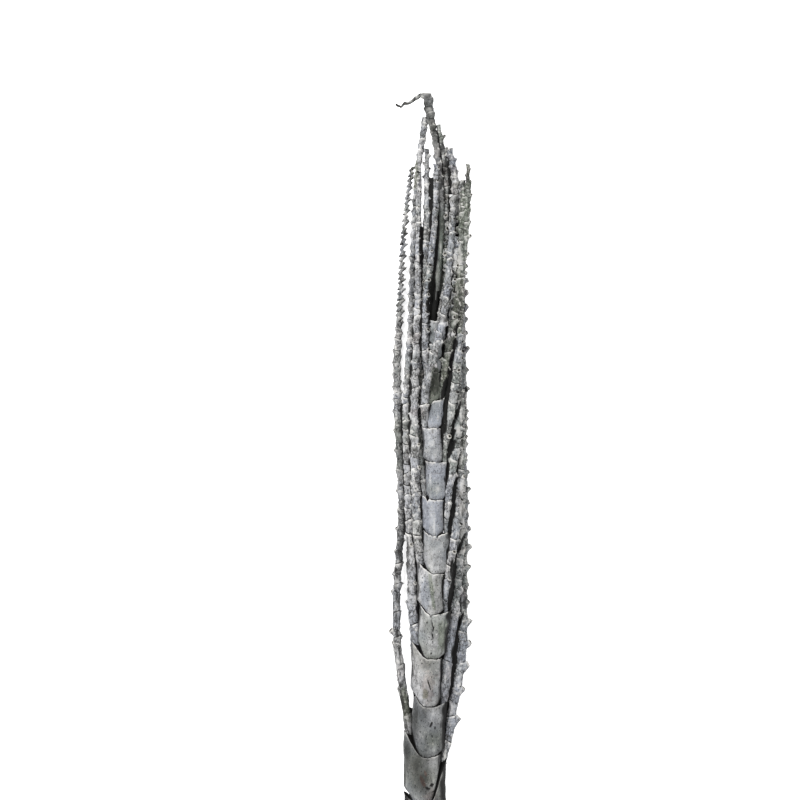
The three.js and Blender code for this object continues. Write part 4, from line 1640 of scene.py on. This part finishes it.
# Marks on the branches: painted shade where a strand lies in shadow, and where it is burnt and sunken, bleached
# or grown over; the bleached ones on the right strands' fronts are partly a painted highlight.
BRANCH_MARKS = (
    *marks(MarkKind.SHADE, (2, 588, 24, 7)),
    *marks(
        MarkKind.DEEP_SHADE,
        (-3.5, 694, 34, 6.5, 84), (-3, 677, 13, 4.5), (24, 252, 6, 3.4), (33, 287, 18, 2.2, 72),
        (21.5, 327, 11, 3), (22, 356, 14, 2.6), (34.5, 387, 16, 2.4, 68), (22.5, 420, 20, 2.8, 76),
        (22, 506, 12, 3.2, 70), (24, 524, 9, 2.8, 75), (29.5, 551, 15, 2.6, 75), (14, 541, 20, 2.4, 88),
        (12.5, 579, 16, 4, 78), (21, 614, 20, 3, 78), (27.5, 637, 6, 2.4), (41, 580, 4, 3),
        (43.5, 544, 3, 2.4), (-5, 820, 22, 1.8), (-17, 760, 28, 1.8),
    ),
    *marks(
        MarkKind.BURNT,
        (-39, 378, 22, 8), (-34, 362, 8, 5), (-47, 349, 3, 8, 5), (-47, 321, 2.6, 8, 175),
        (-47, 294, 2.2, 8, 4), (-46, 273, 2.6, 8, 8), (-51, 306, 16, 1.2), (-43, 248, 16, 1.6, 96),
        (-41, 210, 3, 7, 165), (-40, 192, 20, 2.4, 102), (39, 312, 9, 4), (10, 880, 16, 4, 68),
        (12, 850, 30, 3, 80),
    ),
    *marks(
        MarkKind.BLEACHED,
        (-47, 336, 6, 4), (36, 404, 14, 4), (35, 431, 8, 4), (36, 458, 12, 4), (33, 498, 14, 4),
        (31, 528, 8, 4), (35, 548, 10, 4), (29, 742, 18, 6),
    ),
    *marks(MarkKind.PALE, (-46, 308, 8, 4)),
    *marks(MarkKind.OLD, (-36, 186, 24, 7, 100), (31, 692, 44, 9), (17, 612, 34, 5, 76), (-24, 850, 22, 5)),
    *marks(MarkKind.MOSS, (9, 762, 52, 7, 92)),
    *marks(MarkKind.LICHEN, (9, 762, 52, 7, 92), (27, 338, 34, 9), (36, 382, 18, 8)),
    *marks(MarkKind.BLUE, (26, 772, 30, 6), (32, 610, 46, 9)),
)

MARK_EDGE = 5.0


def apply_marks(marks: Sequence[Mark], places: Array, front: Array, shade_and_wear: Array, tint: Array) -> Array:
    """Put marks on a stretch of skin.

    Args:
        marks: The marks.
        places: Points of the skin.
        front: Whether each point looks up.
        shade_and_wear: Painted shade with dark marks, lip and cut of each point, changed in place.
        tint: Olive, blue and rust of each point, changed in place.

    Returns:
        How deep the skin sinks at each point, in millimetres.
    """
    depth = np.zeros(places.shape[:-1])
    low, high = places[..., 1].min(), places[..., 1].max()
    for mark in marks:
        if mark.y + mark.length < low - MARK_EDGE or mark.y - mark.length > high + MARK_EDGE:
            continue
        share = mark.share(places, front)
        shade_and_stain, lip, olive, blue, rust, sink = mark.kind.value
        shade_and_wear[..., 0] = np.maximum(shade_and_wear[..., 0], shade_and_stain * share)
        shade_and_wear[..., 1] = np.maximum(shade_and_wear[..., 1], lip * share)
        for column, amount in enumerate((olive, blue, rust)):
            tint[..., column] = np.maximum(tint[..., column], amount * share)
        depth += sink * share
    return depth


# Rows of a sheath's lip outside and where it turns in, in millimetres before the rim: place, share of the
# curl, share of the wall, and lip.
LIP_ROWS = np.array(
    [
        (4.5, 0.0, 1, 0.0), (3.0, 0.12, 1, 0.1), (1.8, 0.38, 1, 0.35), (0.9, 0.7, 1, 0.7),
        (0.25, 0.95, 1, 1),
    ]
)
LIP_TURN = np.array([(0.0, 1.0, 0.5, 1.0), (0.3, 0.9, 0.0, 0.6), (1.6, 0.45, 0.0, 0.0), (5.0, 0.0, 0.0, 0.0)])
LIP_SPACE = 0.8

# The real pocket: its share of the frame's, and where the first sheath's belly rises.
REAL_POCKET = 0.68
POCKET_EARLY = 1.5
BELLY_RUN = (8, 40)

# Painted shade on a sheath: at its right and left by cosine, underneath by sine, and beside branches.
RIGHT_EDGES = (0.52, 0.84)
RIGHT_EDGE_RUN = (110, 380)
RIGHT_FULL = 0.97
RIGHT_FROM = (35, 75)
LEFT_SHADE = 0.7
LEFT_EDGE = (-0.99, -0.9)
UNDER_SHADE = 0.55
UNDER_EDGE = (-0.4, 0.1)
SIDE_SHADE = 0.9
NEAR_SHADE_RUN = (0.3, 2.2)
NEAR_SHADE_UP_TO = (0.3, 0.7)

# The painted shadow line where a sheath comes out of the one below, and the faint painted shade past it, in
# millimetres.
LINE_RUN = (0.3, 2.0)
PAST_SHADE = 0.28
PAST_RUN = (1, 8)


@dataclass
class Sheath(Piece):
    """One nested sheath: a thin dry wall with fibres, dents and a torn lip that curls outwards.

    It is meshed with so many points round it, rows so many millimetres apart outside, and a few rows inside.
    """

    index: int
    bundle: Bundle
    sides: int = 144
    row_step: float = 1.7
    fewest_rows: int = 6
    inner_rows: int = 9
    finish = "sheath_skin"

    def __post_init__(self) -> None:
        """Prepare the sheath of one number."""
        self.plan = SHEATHS[self.index]
        self.node = f"sheath_{self.index + 1:02d}"

    def rim(self, angle: Array) -> Array:
        """Tear the rim.

        Args:
            angle: Angles round the stalk.

        Returns:
            The torn rim's station at each angle.
        """
        circle = stacked(np.cos(angle), self.index * 3.1, np.sin(angle))
        rim = self.plan.rim(angle) + 1.0 * noise(circle, 0.55, 51) + 0.6 * noise(circle, 0.14, 52)
        for degrees, depth, half in self.plan.tears:
            away = np.abs((np.degrees(angle) - degrees + 180) % 360 - 180) / half
            rim = rim - depth * np.maximum(0, 1 - away) ** 1.3
        return rim

    def room(self, y: Array, angle: Array) -> Array:
        """Inner radius of the real sheath, which swells to its pocket soon after it comes out.

        Args:
            y: Stations.
            angle: Angles round the stalk.

        Returns:
            The inner radius at each place.
        """
        emerge = emerge_height(self.index, angle)
        facing = np.maximum(0.0, np.cos(angle) * self.plan.side.value)
        step = 2 * GAP + sheath_wall(self.index) + MOUTH_SLACK
        full = along(STALK, 3, y) + step + REAL_POCKET * self.plan.pocket * facing**POCKET_FOCUS
        solid = sheath_inner(self.index, y, angle)
        away = np.maximum(0.0, -np.cos(angle) * self.plan.side.value)
        belly = self.plan.belly * away**POCKET_FOCUS * smoothstep(y, *BELLY_RUN)
        swollen = smoothstep(y, emerge - POCKET_EARLY, emerge + self.plan.swell)
        return np.maximum(solid, mix(solid, full, swollen)) + belly

    def wall(self, y: Array, angle: Array) -> tuple[Array, Array]:
        """The outer wall's radius without its lip, and how far its skin stands out.

        Args:
            y: Stations.
            angle: Angles round the stalk.

        Returns:
            The radius and the relief at each place.
        """
        smooth = self.room(y, angle) + sheath_wall(self.index)
        x, z = stalk_middle(y)
        points = stacked(x + smooth * np.cos(angle), y, z + smooth * np.sin(angle))
        lump = noise(points, (13, 30, 13), 53 + self.index)
        ridge = noise(points, (3.2, 46, 3.2), 54)
        fibre = noise(points, (1.3, 17, 1.3), 55)
        dent = noise(points, (5, 8, 5), 56)
        scale = smooth / 20
        relief = 0.2 * ridge + 0.2 * fibre + 0.3 * dent
        return smooth + scale * (0.75 * lump + 0.3 * dent) + 0.14 * ridge + 0.1 * fibre, relief

    def rows(self, angle: Array, rim: Array) -> tuple[Array, Array, Array]:
        """Lay the rows of the closed wall: up outside, over the lip and back down inside.

        Args:
            angle: Angles round the stalk.
            rim: The torn rim's station at each angle.

        Returns:
            Each row's station at each angle, its shares of the curl, the wall and the lip, and
            whether it is inside.
        """
        base = base_height(self.index, angle)
        outer = max(self.fewest_rows, math.ceil(float((rim - base).mean()) / self.row_step))
        wall_y = mix(base, rim - LIP_ROWS[0, 0] - LIP_SPACE, np.linspace(0, 1, outer)[:, None])
        inner_y = mix(rim - LIP_TURN[-1, 0], base, np.linspace(0, 1, self.inner_rows + 1)[1:, None])
        y = np.concatenate([wall_y, rim - LIP_ROWS[:, :1], rim - LIP_TURN[:, :1], inner_y])
        plain, inner = np.tile((0.0, 1.0, 0.0), (outer, 1)), np.zeros((self.inner_rows, 3))
        shares = np.concatenate([plain, LIP_ROWS[:, 1:], LIP_TURN[:, 1:], inner])
        return y, shares, np.arange(len(y))[:, None] > outer + len(LIP_ROWS)

    def darkness(self, places: Array, angles: Array, rim: Array, inside: Array, circle: Array) -> Array:
        """Paint shade on the skin inside, over the rim below, at its edges and beside branches, and add its
        dimming.

        Args:
            places: Points of the skin.
            angles: The angle of each point round the stalk.
            rim: The torn rim's station at each angle.
            inside: Which rows are inside.
            circle: Places on a circle of radius 1, for noise that is alike along the stalk.

        Returns:
            How dark each point is, from 0 to 1.
        """
        y, (cosine, sine) = places[..., 1], around(angles)
        shade_and_stain = np.where(inside, np.clip((rim - y) / 2.0, 0, 1), 0)
        if self.index:
            over = y - Sheath(self.index - 1, self.bundle).rim(angles)
            line = (0.62 + 0.38 * noise(circle, 0.5, 64)) * (1 - smoothstep(over, *LINE_RUN))
            hidden = np.maximum(line, PAST_SHADE * (1 - smoothstep(over, *PAST_RUN)))
            shade_and_stain = np.maximum(shade_and_stain, np.where(over < 0, 1, hidden))
        near_shade = 1 - smoothstep(self.bundle.clearance(places, self.index), *NEAR_SHADE_RUN)
        edge = cosine + 0.1 * noise(places, (3, 9, 3), 59)
        right_edge = mix(*RIGHT_EDGES, smoothstep(y, *RIGHT_EDGE_RUN))
        right = smoothstep(edge, right_edge, RIGHT_FULL) * smoothstep(y, *RIGHT_FROM)
        left = LEFT_SHADE * (1 - smoothstep(edge, *LEFT_EDGE))
        under = UNDER_SHADE * (1 - smoothstep(sine, *UNDER_EDGE))
        shade = SIDE_SHADE * np.maximum.reduce([right, left, under])
        dimming = self.plan.dimming * (1 + 0.6 * noise(places, (12, 22, 12), 60))
        return np.maximum.reduce([shade_and_stain, shade, dimming, near_shade * (1 - smoothstep(sine, *NEAR_SHADE_UP_TO))])

    def build(self) -> Object:
        """Make the sheath as one closed mesh.

        Returns:
            Its object.
        """
        angle = round_angles(self.sides)
        rim = self.rim(angle)
        y, shares, inside = self.rows(angle, rim)
        angles = np.broadcast_to(angle, y.shape)
        cosine, sine = around(angles)
        circle = stacked(cosine, self.index * 2.3, sine)
        radius, relief = self.wall(y, angles)
        curl = 0.9 + 0.8 * noise(circle, 0.4, 57)
        radius = radius + shares[:, :1] * curl - (1 - shares[:, 1:2]) * sheath_wall(self.index) * 0.85
        core = along(STALK, 3, y) + GAP
        radius = np.where(inside, mix(radius, core, smoothstep(rim - y, 2.0, 5.0)), radius)
        x, z = stalk_middle(y)
        places = stacked(x + radius * cosine, y, z + radius * sine)
        shade_and_stain = self.darkness(places, angles, rim, inside, circle)
        torn = smoothstep(0.5 + 0.5 * noise(places, (2.5, 4, 2.5), 58), 0.2, 0.6)
        shade_and_wear = stacked(shade_and_stain, shares[:, 2:] * torn * (1 - 0.6 * shade_and_stain), 0.0)
        tint = self.tint(places)
        depth = apply_marks(MARKS, places, sine > 0, shade_and_wear, tint)
        outward = stacked(cosine, 0.0, sine)
        places = places - np.where(inside, 0, depth)[..., None] * outward
        skin = Skin()
        skin.add_tube(places, shade_and_wear, tint, relief, closed=True)
        LOG.info("%s: %d rows", self.node, len(y))
        return skin.finish(f"{self.node}_detail")

    def tint(self, points: Array) -> Array:
        """Tint the sheath's skin, with patches that drift over it.

        Args:
            points: Points of the skin.

        Returns:
            Olive, blue and rust of each point.
        """
        plan = self.plan
        drift = [noise(points, size, seed) for size, seed in ((24, 61), (17, 62), (14, 63))]
        olive = plan.olive + 0.35 * drift[0]
        blue = plan.blue + 0.4 * drift[1]
        rust = plan.rust * (0.7 + 0.6 * drift[2]) + 0.12 * drift[0]
        return np.clip(stacked(olive, blue, rust), 0, 1)


# Rows of the foot: distance from it and share of the core's radius; the first ones are the sawn face.
FOOT_ROWS = np.array([(0.0, 0.35), (0.0, 0.7), (0.0, 0.93), (0.6, 1.0), (2.0, 1.0)])
SAWN_ROWS = 3
CORE_FROM = 6.0
CORE_STEP = 4.0
CORE_PAST_TIP = 16.0

# Webs at the stalk's right: from, to, how dark and how green; the first is dark painted shade, the second lighter
# and greener.
STALK_WEBS = ((20.0, 652.0, 0.86, 0.3), (652.0, 752.0, 0.3, 0.7))


@dataclass
class Stalk(Piece):
    """The stalk: its sawn foot, its hidden core, its bare stretch, the jointed tip and the withered tail."""

    bundle: Bundle
    bare_until: float = 812.0
    core_sides: int = 48
    tail_rings: int = 56
    tail_sides: int = 12
    node = "stalk"
    finish = "stalk_skin"

    def __post_init__(self) -> None:
        """Prepare the stalk with the jointing of its tip."""
        plan = BranchPlan(
            "stalk", 4.2, 3.6, (), root_joint=9, tip_joint=8, twist=20, zigzag=0.1, stub=0.5,
            girth=((690, 1.0), (905, 1.05), (926, 1.3), (942, 1.5), (951, 1.35)),
            dimming=0.5, undimmed_until=790, olive=0.3, blue=0.15,
        )
        self.tip = JointedTube(plan, self.bundle.terminal, self.bundle, len(BRANCHES), self.bare_until)

    def add_core(self, skin: Skin) -> None:
        """Add the core, from its sawn foot up into the jointed stretch.

        Args:
            skin: The skin to add to.
        """
        y = np.concatenate([FOOT_ROWS[:, 0], np.arange(CORE_FROM, TERMINAL_START + CORE_PAST_TIP, CORE_STEP)])
        inset = np.concatenate([FOOT_ROWS[:, 1], np.ones(len(y) - len(FOOT_ROWS))])
        x, z = stalk_middle(y)
        radii = along(STALK, 3, y) * inset
        angle = round_angles(self.core_sides)
        outward = stacked(np.cos(angle), 0.0, np.sin(angle))
        places = stacked(x, y, z)[:, None] + radii[:, None, None] * outward
        ridge = noise(places, (2.2, 30, 2.2), 71)
        sawn = (np.arange(len(y)) < SAWN_ROWS)[:, None] * np.ones(self.core_sides)
        places = places + (0.2 * ridge * (1 - sawn))[..., None] * outward
        places[..., 1] += sawn * 0.25 * (1 + noise(places, (1.4, 5, 4.5), 72))
        # The core is painted near black, as the shade inside the sheaths; the sawn face shows the cut.
        shade_and_wear = stacked(0.97 * (1 - sawn), 0.0, sawn)
        tint = np.clip(stacked(0.5 + 0.3 * ridge, 0.1, 0.3 + 0.3 * ridge), 0, 1)
        skin.add_tube(places, shade_and_wear, tint, ridge)

    def add_tail(self, skin: Skin) -> None:
        """Add the withered tail that hangs off the tip to the left.

        Args:
            skin: The skin to add to.
        """
        points = np.array(TAIL, float)
        reach = np.concatenate([[0], np.cumsum(np.linalg.norm(np.diff(points, axis=0), axis=1))])
        steps = np.linspace(0, reach[-1], self.tail_rings)
        middles = stacked(*(np.interp(steps, reach, points[:, column]) for column in range(3)))
        kinks = stacked(*(noise(middles, 3.4, seed) for seed in (81, 82, 83)))
        middles = middles + kinks * np.array([0.5, 1.3, 0.9])
        radii = np.interp(steps, [0, 6, 24, reach[-1]], [3.6, 2.8, 2.2, 1.3])
        places = swept(middles, radii * (1 + 0.25 * noise(middles, 2.4, 84)), self.tail_sides)
        dark = np.interp(steps, [0, 12, reach[-1]], [0.15, 0.42, 0.6])[:, None]
        dark = np.clip(dark + 0.3 * noise(places, 3, 85), 0, 1)
        tint = np.broadcast_to((0.4, 0.1, 0.1), places.shape)
        skin.add_tube(places, stacked(dark, 0.0, 0.0), tint, noise(places, 1.6, 86))

    def build(self) -> Object:
        """Make the stalk as one mesh.

        Returns:
            Its object.
        """
        skin = Skin()
        self.add_core(skin)
        self.tip.add_joints(skin)
        stubs = self.tip.add_stubs(skin, self.bare_until - 2)
        self.add_tail(skin)
        webs = sum(add_webs(skin, self.bundle, len(BRANCHES), *row) for row in STALK_WEBS)
        LOG.info("stalk: %d stubs on its tip, %d webs", stubs, webs)
        return skin.finish("stalk_detail")


def linear(colour: str) -> tuple[float, float, float, float]:
    """Turn a screen colour into the light values that Blender mixes.

    Args:
        colour: An sRGB hex value, such as #A9A7A8.

    Returns:
        Linear red, green and blue, and full alpha.
    """
    parts = [int(colour[place : place + 2], 16) / 255 for place in (1, 3, 5)]
    light = [part / 12.92 if part <= 0.04045 else ((part + 0.055) / 1.055) ** 2.4 for part in parts]
    return (*light, 1.0)


class Graph:
    """A new material and its node tree."""

    def __init__(self, name: str) -> None:
        """Make the material with an empty tree."""
        self.material = bpy.data.materials.new(name)
        self.material.use_nodes = True
        self.tree = self.material.node_tree
        self.tree.nodes.clear()

    def add(self, kind: str, inputs: dict[str | int, object], **settings: object) -> bpy.types.Node:
        """Add one node.

        Args:
            kind: Blender's name of the node, without its first word.
            inputs: A value, or another node's output, for each named or numbered input.
            **settings: The node's own settings.

        Returns:
            The new node.
        """
        node = self.tree.nodes.new(f"ShaderNode{kind}")
        for name, value in settings.items():
            setattr(node, name, value)
        for key, value in inputs.items():
            if isinstance(value, Socket):
                self.tree.links.new(value, node.inputs[key])
            else:
                node.inputs[key].default_value = value
        return node

    def scaled(self, size: Sequence[float]) -> Socket:
        """Places on the part in steps of a real size, in millimetres along X, Y and Z."""
        inputs = {"Vector": self.add("TexCoord", {}).outputs["Object"]}
        inputs["Scale"] = tuple(1 / (MM * length) for length in size)
        return self.add("Mapping", inputs).outputs["Vector"]

    def pattern(self, size: Sequence[float], detail: float, rough: float) -> Socket:
        """A noise whose bumps have a real size."""
        inputs = {"Vector": self.scaled(size), "Scale": 1.0, "Detail": detail, "Roughness": rough}
        return self.add("TexNoise", inputs).outputs["Fac"]

    def cells(self, size: Sequence[float]) -> Socket:
        """Distance to the edge of cells that have a real size."""
        inputs = {"Vector": self.scaled(size), "Scale": 1.0}
        return self.add("TexVoronoi", inputs, feature="DISTANCE_TO_EDGE").outputs["Distance"]

    def window(self, value: object, low: float, high: float, top: float = 1.0) -> Socket:
        """Spread the stretch of a value from low to high over 0 to top."""
        inputs = {"Value": value, "From Min": low, "From Max": high, "To Min": 0.0, "To Max": top}
        return self.add("MapRange", inputs, interpolation_type="SMOOTHSTEP").outputs["Result"]

    def maths(self, operation: str, first: object, second: object) -> Socket:
        """Combine two values."""
        return self.add("Math", {0: first, 1: second}, operation=operation).outputs[0]

    def blend(self, share: object, first: object, second: object, how: str = "MIX") -> Socket:
        """Lay the second colour over the first by a share."""
        inputs = {0: share, 6: first, 7: second}
        return self.add("Mix", inputs, data_type="RGBA", blend_type=how, clamp_factor=True).outputs[2]


@dataclass(frozen=True)
class WeatheredSkin:
    """The silver-grey skin of a dried palm flower stalk that rain and sun have bleached.

    The two greys give the eye its bleached fibres and the older, rubbed ones; olive is what is left of the
    green skin, blue the cool bloom of the smooth sheaths, and rust the tannin that rain draws out.
    """

    name: str
    light: str = "#ACACAD"
    middle: str = "#868687"
    olive: str = "#5B6356"
    blue: str = "#7F848E"
    rust: str = "#6E564D"
    # Near black, for painted shade in creases, gaps and hollows, and for dark marks such as cracks and pits.
    shade_and_stain: str = "#0A0A09"
    # Pale, for flakes, torn lips and bleached marks, and for painted highlight on bumps.
    lip: str = "#D4D2CE"
    cut: str = "#A19E96"
    cut_grain: str = "#46433C"
    fibre_shadow: str = "#3F3D39"
    flake_shadow: str = "#25231F"
    crack: str = "#1D1B19"
    speck: str = "#181714"
    # Painted shade in the low places of the skin's relief.
    hollow_shade: str = "#26241F"
    roughness: float = 0.84
    flakes: float = 0.8
    fibres: float = 0.35
    scales: float = 0.85
    specks: float = 0.38

    def build(self) -> bpy.types.Material:
        """Make the material.

        Returns:
            The material, which reads the mesh's wear, tint and relief.
        """
        graph = Graph(self.name)
        # Broad patches of a finger's breadth, where the bleaching goes deeper.
        blotch = graph.pattern((11, 17, 11), 3, 0.6)
        # Flakes of 2 to 3 mm, which give the skin its scaly, speckled look from arm's length.
        flake = graph.pattern((2.6, 3.8, 2.6), 5, 0.7)
        # Fibres under a millimetre wide that run along the stalk.
        fibre = graph.pattern((0.9, 15, 0.9), 3, 0.6)
        # Specks of dirt and spore, and the cracks between scales of 4 mm.
        speck = graph.pattern((1.7, 2.3, 1.7), 2, 0.5)
        crack = graph.cells((3.2, 4.8, 3.2))
        shade_and_wear, tint = (
            graph.add("SeparateXYZ", {0: graph.add("Attribute", {}, attribute_name=name).outputs["Vector"]})
            for name in ("shade_and_wear", "tint")
        )
        relief = graph.add("Attribute", {}, attribute_name="relief").outputs["Fac"]
        colour = graph.blend(graph.window(blotch, 0.36, 0.62), linear(self.light), linear(self.middle))
        for output, shade in ((1, self.blue), (0, self.olive), (2, self.rust)):
            ragged = graph.maths("ADD", tint.outputs[output], graph.maths("MULTIPLY", flake, 0.8))
            colour = graph.blend(graph.window(ragged, 0.35, 1.3, 0.9), colour, linear(shade))
        colour = graph.blend(graph.window(fibre, 0.5, 0.3, self.fibres), colour, linear(self.fibre_shadow))
        colour = graph.blend(graph.window(flake, 0.56, 0.7, self.flakes), colour, linear(self.lip))
        colour = graph.blend(graph.window(flake, 0.51, 0.35, self.flakes), colour, linear(self.flake_shadow))
        edges, patches = graph.window(crack, 0.11, 0.02), graph.window(blotch, 0.4, 0.55, self.scales)
        split = graph.maths("MULTIPLY", edges, patches)
        colour = graph.blend(split, colour, linear(self.crack))
        spots = graph.window(speck, self.specks, self.specks - 0.1, 0.85)
        colour = graph.blend(spots, colour, linear(self.speck))
        # Painted shade in the skin's hollows and painted highlight on its bumps, by relief.
        colour = graph.blend(graph.window(relief, 0.0, -0.8, 0.7), colour, linear(self.hollow_shade))
        colour = graph.blend(graph.window(relief, 0.1, 0.9, 0.55), colour, linear(self.lip))
        # Pale torn lips, partly a painted highlight.
        colour = graph.blend(graph.maths("MULTIPLY", shade_and_wear.outputs[1], 0.85), colour, linear(self.lip))
        grain = graph.blend(graph.window(fibre, 0.35, 0.6), linear(self.cut_grain), linear(self.cut))
        colour = graph.blend(shade_and_wear.outputs[2], colour, grain)
        # Painted shade, with dark marks and dimming, from the first channel of the mesh.
        colour = graph.blend(graph.window(shade_and_wear.outputs[0], 0.12, 0.85), colour, linear(self.shade_and_stain))
        height = graph.maths("ADD", graph.maths("MULTIPLY", flake, 0.7), graph.maths("MULTIPLY", fibre, 0.5))
        bump = graph.add("Bump", {"Height": height, "Strength": 0.8, "Distance": 0.9 * MM})
        limits = {"To Min": self.roughness - 0.1, "To Max": self.roughness + 0.1}
        rough = graph.add("MapRange", {"Value": flake, **limits})
        skin = {
            "Base Color": colour,
            "Roughness": rough.outputs["Result"],
            "Specular IOR Level": 0.28,
            "Normal": bump.outputs["Normal"],
        }
        shader = graph.add("BsdfPrincipled", skin)
        graph.add("OutputMaterial", {"Surface": shader.outputs["BSDF"]})
        return graph.material


@dataclass(frozen=True)
class Lamp:
    """One soft square light: where it hangs and its side, in metres, and its power in watts."""

    name: str
    place: tuple[float, float, float]
    side: float
    power: float

    def hang(self) -> None:
        """Hang the light so that it looks at the middle of the part."""
        light = bpy.data.lights.new(self.name, "AREA")
        light.size, light.energy = self.side, self.power
        lamp = bpy.data.objects.new(self.name, light)
        lamp.location = self.place
        lamp.rotation_euler = (-Vector(self.place)).to_track_quat("-Z", "Y").to_euler()
        bpy.context.scene.collection.objects.link(lamp)


@dataclass(frozen=True)
class Studio:
    """A plain white table lit from below, soft light and the camera straight above, in metres.

    The camera looks down on `aim`, and its view is `view_width` wide at the height of the part's middle.
    """

    lamps: tuple[Lamp, ...] = (
        Lamp("key", (-1.5, 1.2, 2.1), 1.7, 112),
        Lamp("fill", (1.3, -0.9, 2.3), 2.4, 44),
    )
    sky: float = 0.5
    table: float = 4.0
    table_drop: float = 0.0004
    table_glow: float = 0.62
    lens: float = 85.0
    film: float = 36.0
    aim: tuple[float, float, float] = (-0.03815, 0.0911, 0.025)
    view_width: float = 1.0

    def build_floor(self) -> None:
        """Lay the floor."""
        mesh = bpy.data.meshes.new("floor")
        corners = [(self.table * x, self.table * y, 0) for x, y in ((-1, -1), (1, -1), (1, 1), (-1, 1))]
        mesh.from_pydata(corners, [], [(0, 1, 2, 3)])
        floor = bpy.data.objects.new("floor", mesh)
        floor.location.z = -self.table_drop
        bpy.context.scene.collection.objects.link(floor)
        graph = Graph("lit_opal_acrylic")
        # The faint tooth of matt acrylic, without which the floor looks like a screen.
        tooth = graph.pattern((0.8, 0.8, 0.8), 2, 0.5)
        bump = graph.add("Bump", {"Height": tooth, "Strength": 0.05, "Distance": 0.1 * MM})
        opal = {
            "Base Color": linear("#F4F4F4"),
            "Roughness": 0.9,
            "Specular IOR Level": 0.1,
            "Emission Color": linear("#FFFFFF"),
            "Emission Strength": self.table_glow,
            "Normal": bump.outputs["Normal"],
        }
        graph.add("OutputMaterial", {"Surface": graph.add("BsdfPrincipled", opal).outputs["BSDF"]})
        mesh.materials.append(graph.material)

    def build(self) -> None:
        """Set up the floor, the lights, the sky and the camera."""
        scene = bpy.context.scene
        scene.view_settings.view_transform = "Standard"
        self.build_floor()
        for lamp in self.lamps:
            lamp.hang()
        world = bpy.data.worlds.new("pale_sky")
        world.use_nodes = True
        background = world.node_tree.nodes["Background"]
        background.inputs["Color"].default_value = linear("#FFFFFF")
        background.inputs["Strength"].default_value = self.sky
        scene.world = world
        lens = bpy.data.cameras.new("camera")
        lens.lens, lens.sensor_width = self.lens, self.film
        camera = bpy.data.objects.new("camera", lens)
        camera.location = (*self.aim[:2], self.aim[2] + self.view_width * self.lens / self.film)
        scene.collection.objects.link(camera)
        scene.camera = camera


def main() -> None:
    """Build the part, dress it and set up the studio."""
    bundle = Bundle()
    # Twigs bleached by rain: scaly and speckled, with cracks between the scales.
    branch_skin = WeatheredSkin("weathered_flower_branch").build()
    # Dry sheaths, grown smooth: finer flakes, more specks, and hardly a fibre or a crack.
    sheath_skin = WeatheredSkin("dry_sheath_skin", flakes=0.5, fibres=0.12, scales=0.2, specks=0.41).build()
    # The stalk's own skin: long fibres with a few open cracks.
    stalk_skin = WeatheredSkin("weathered_stalk_skin", flakes=0.45, fibres=0.5, scales=0.5).build()
    parts: list[tuple[Piece, bpy.types.Material]] = [(Stalk(bundle), stalk_skin)]
    parts += [(Sheath(index, bundle), sheath_skin) for index in range(len(SHEATHS))]
    parts += [(Branch(index, bundle), branch_skin) for index in range(len(BRANCHES))]
    for part, material in parts:
        piece = part.build()
        part.dress(piece, material)
        LOG.info("%s: %d faces", piece.name, len(piece.data.polygons))
    Studio().build()


if __name__ == "__main__":
    logging.basicConfig(level=logging.INFO, format="%(name)s: %(message)s")
    main()
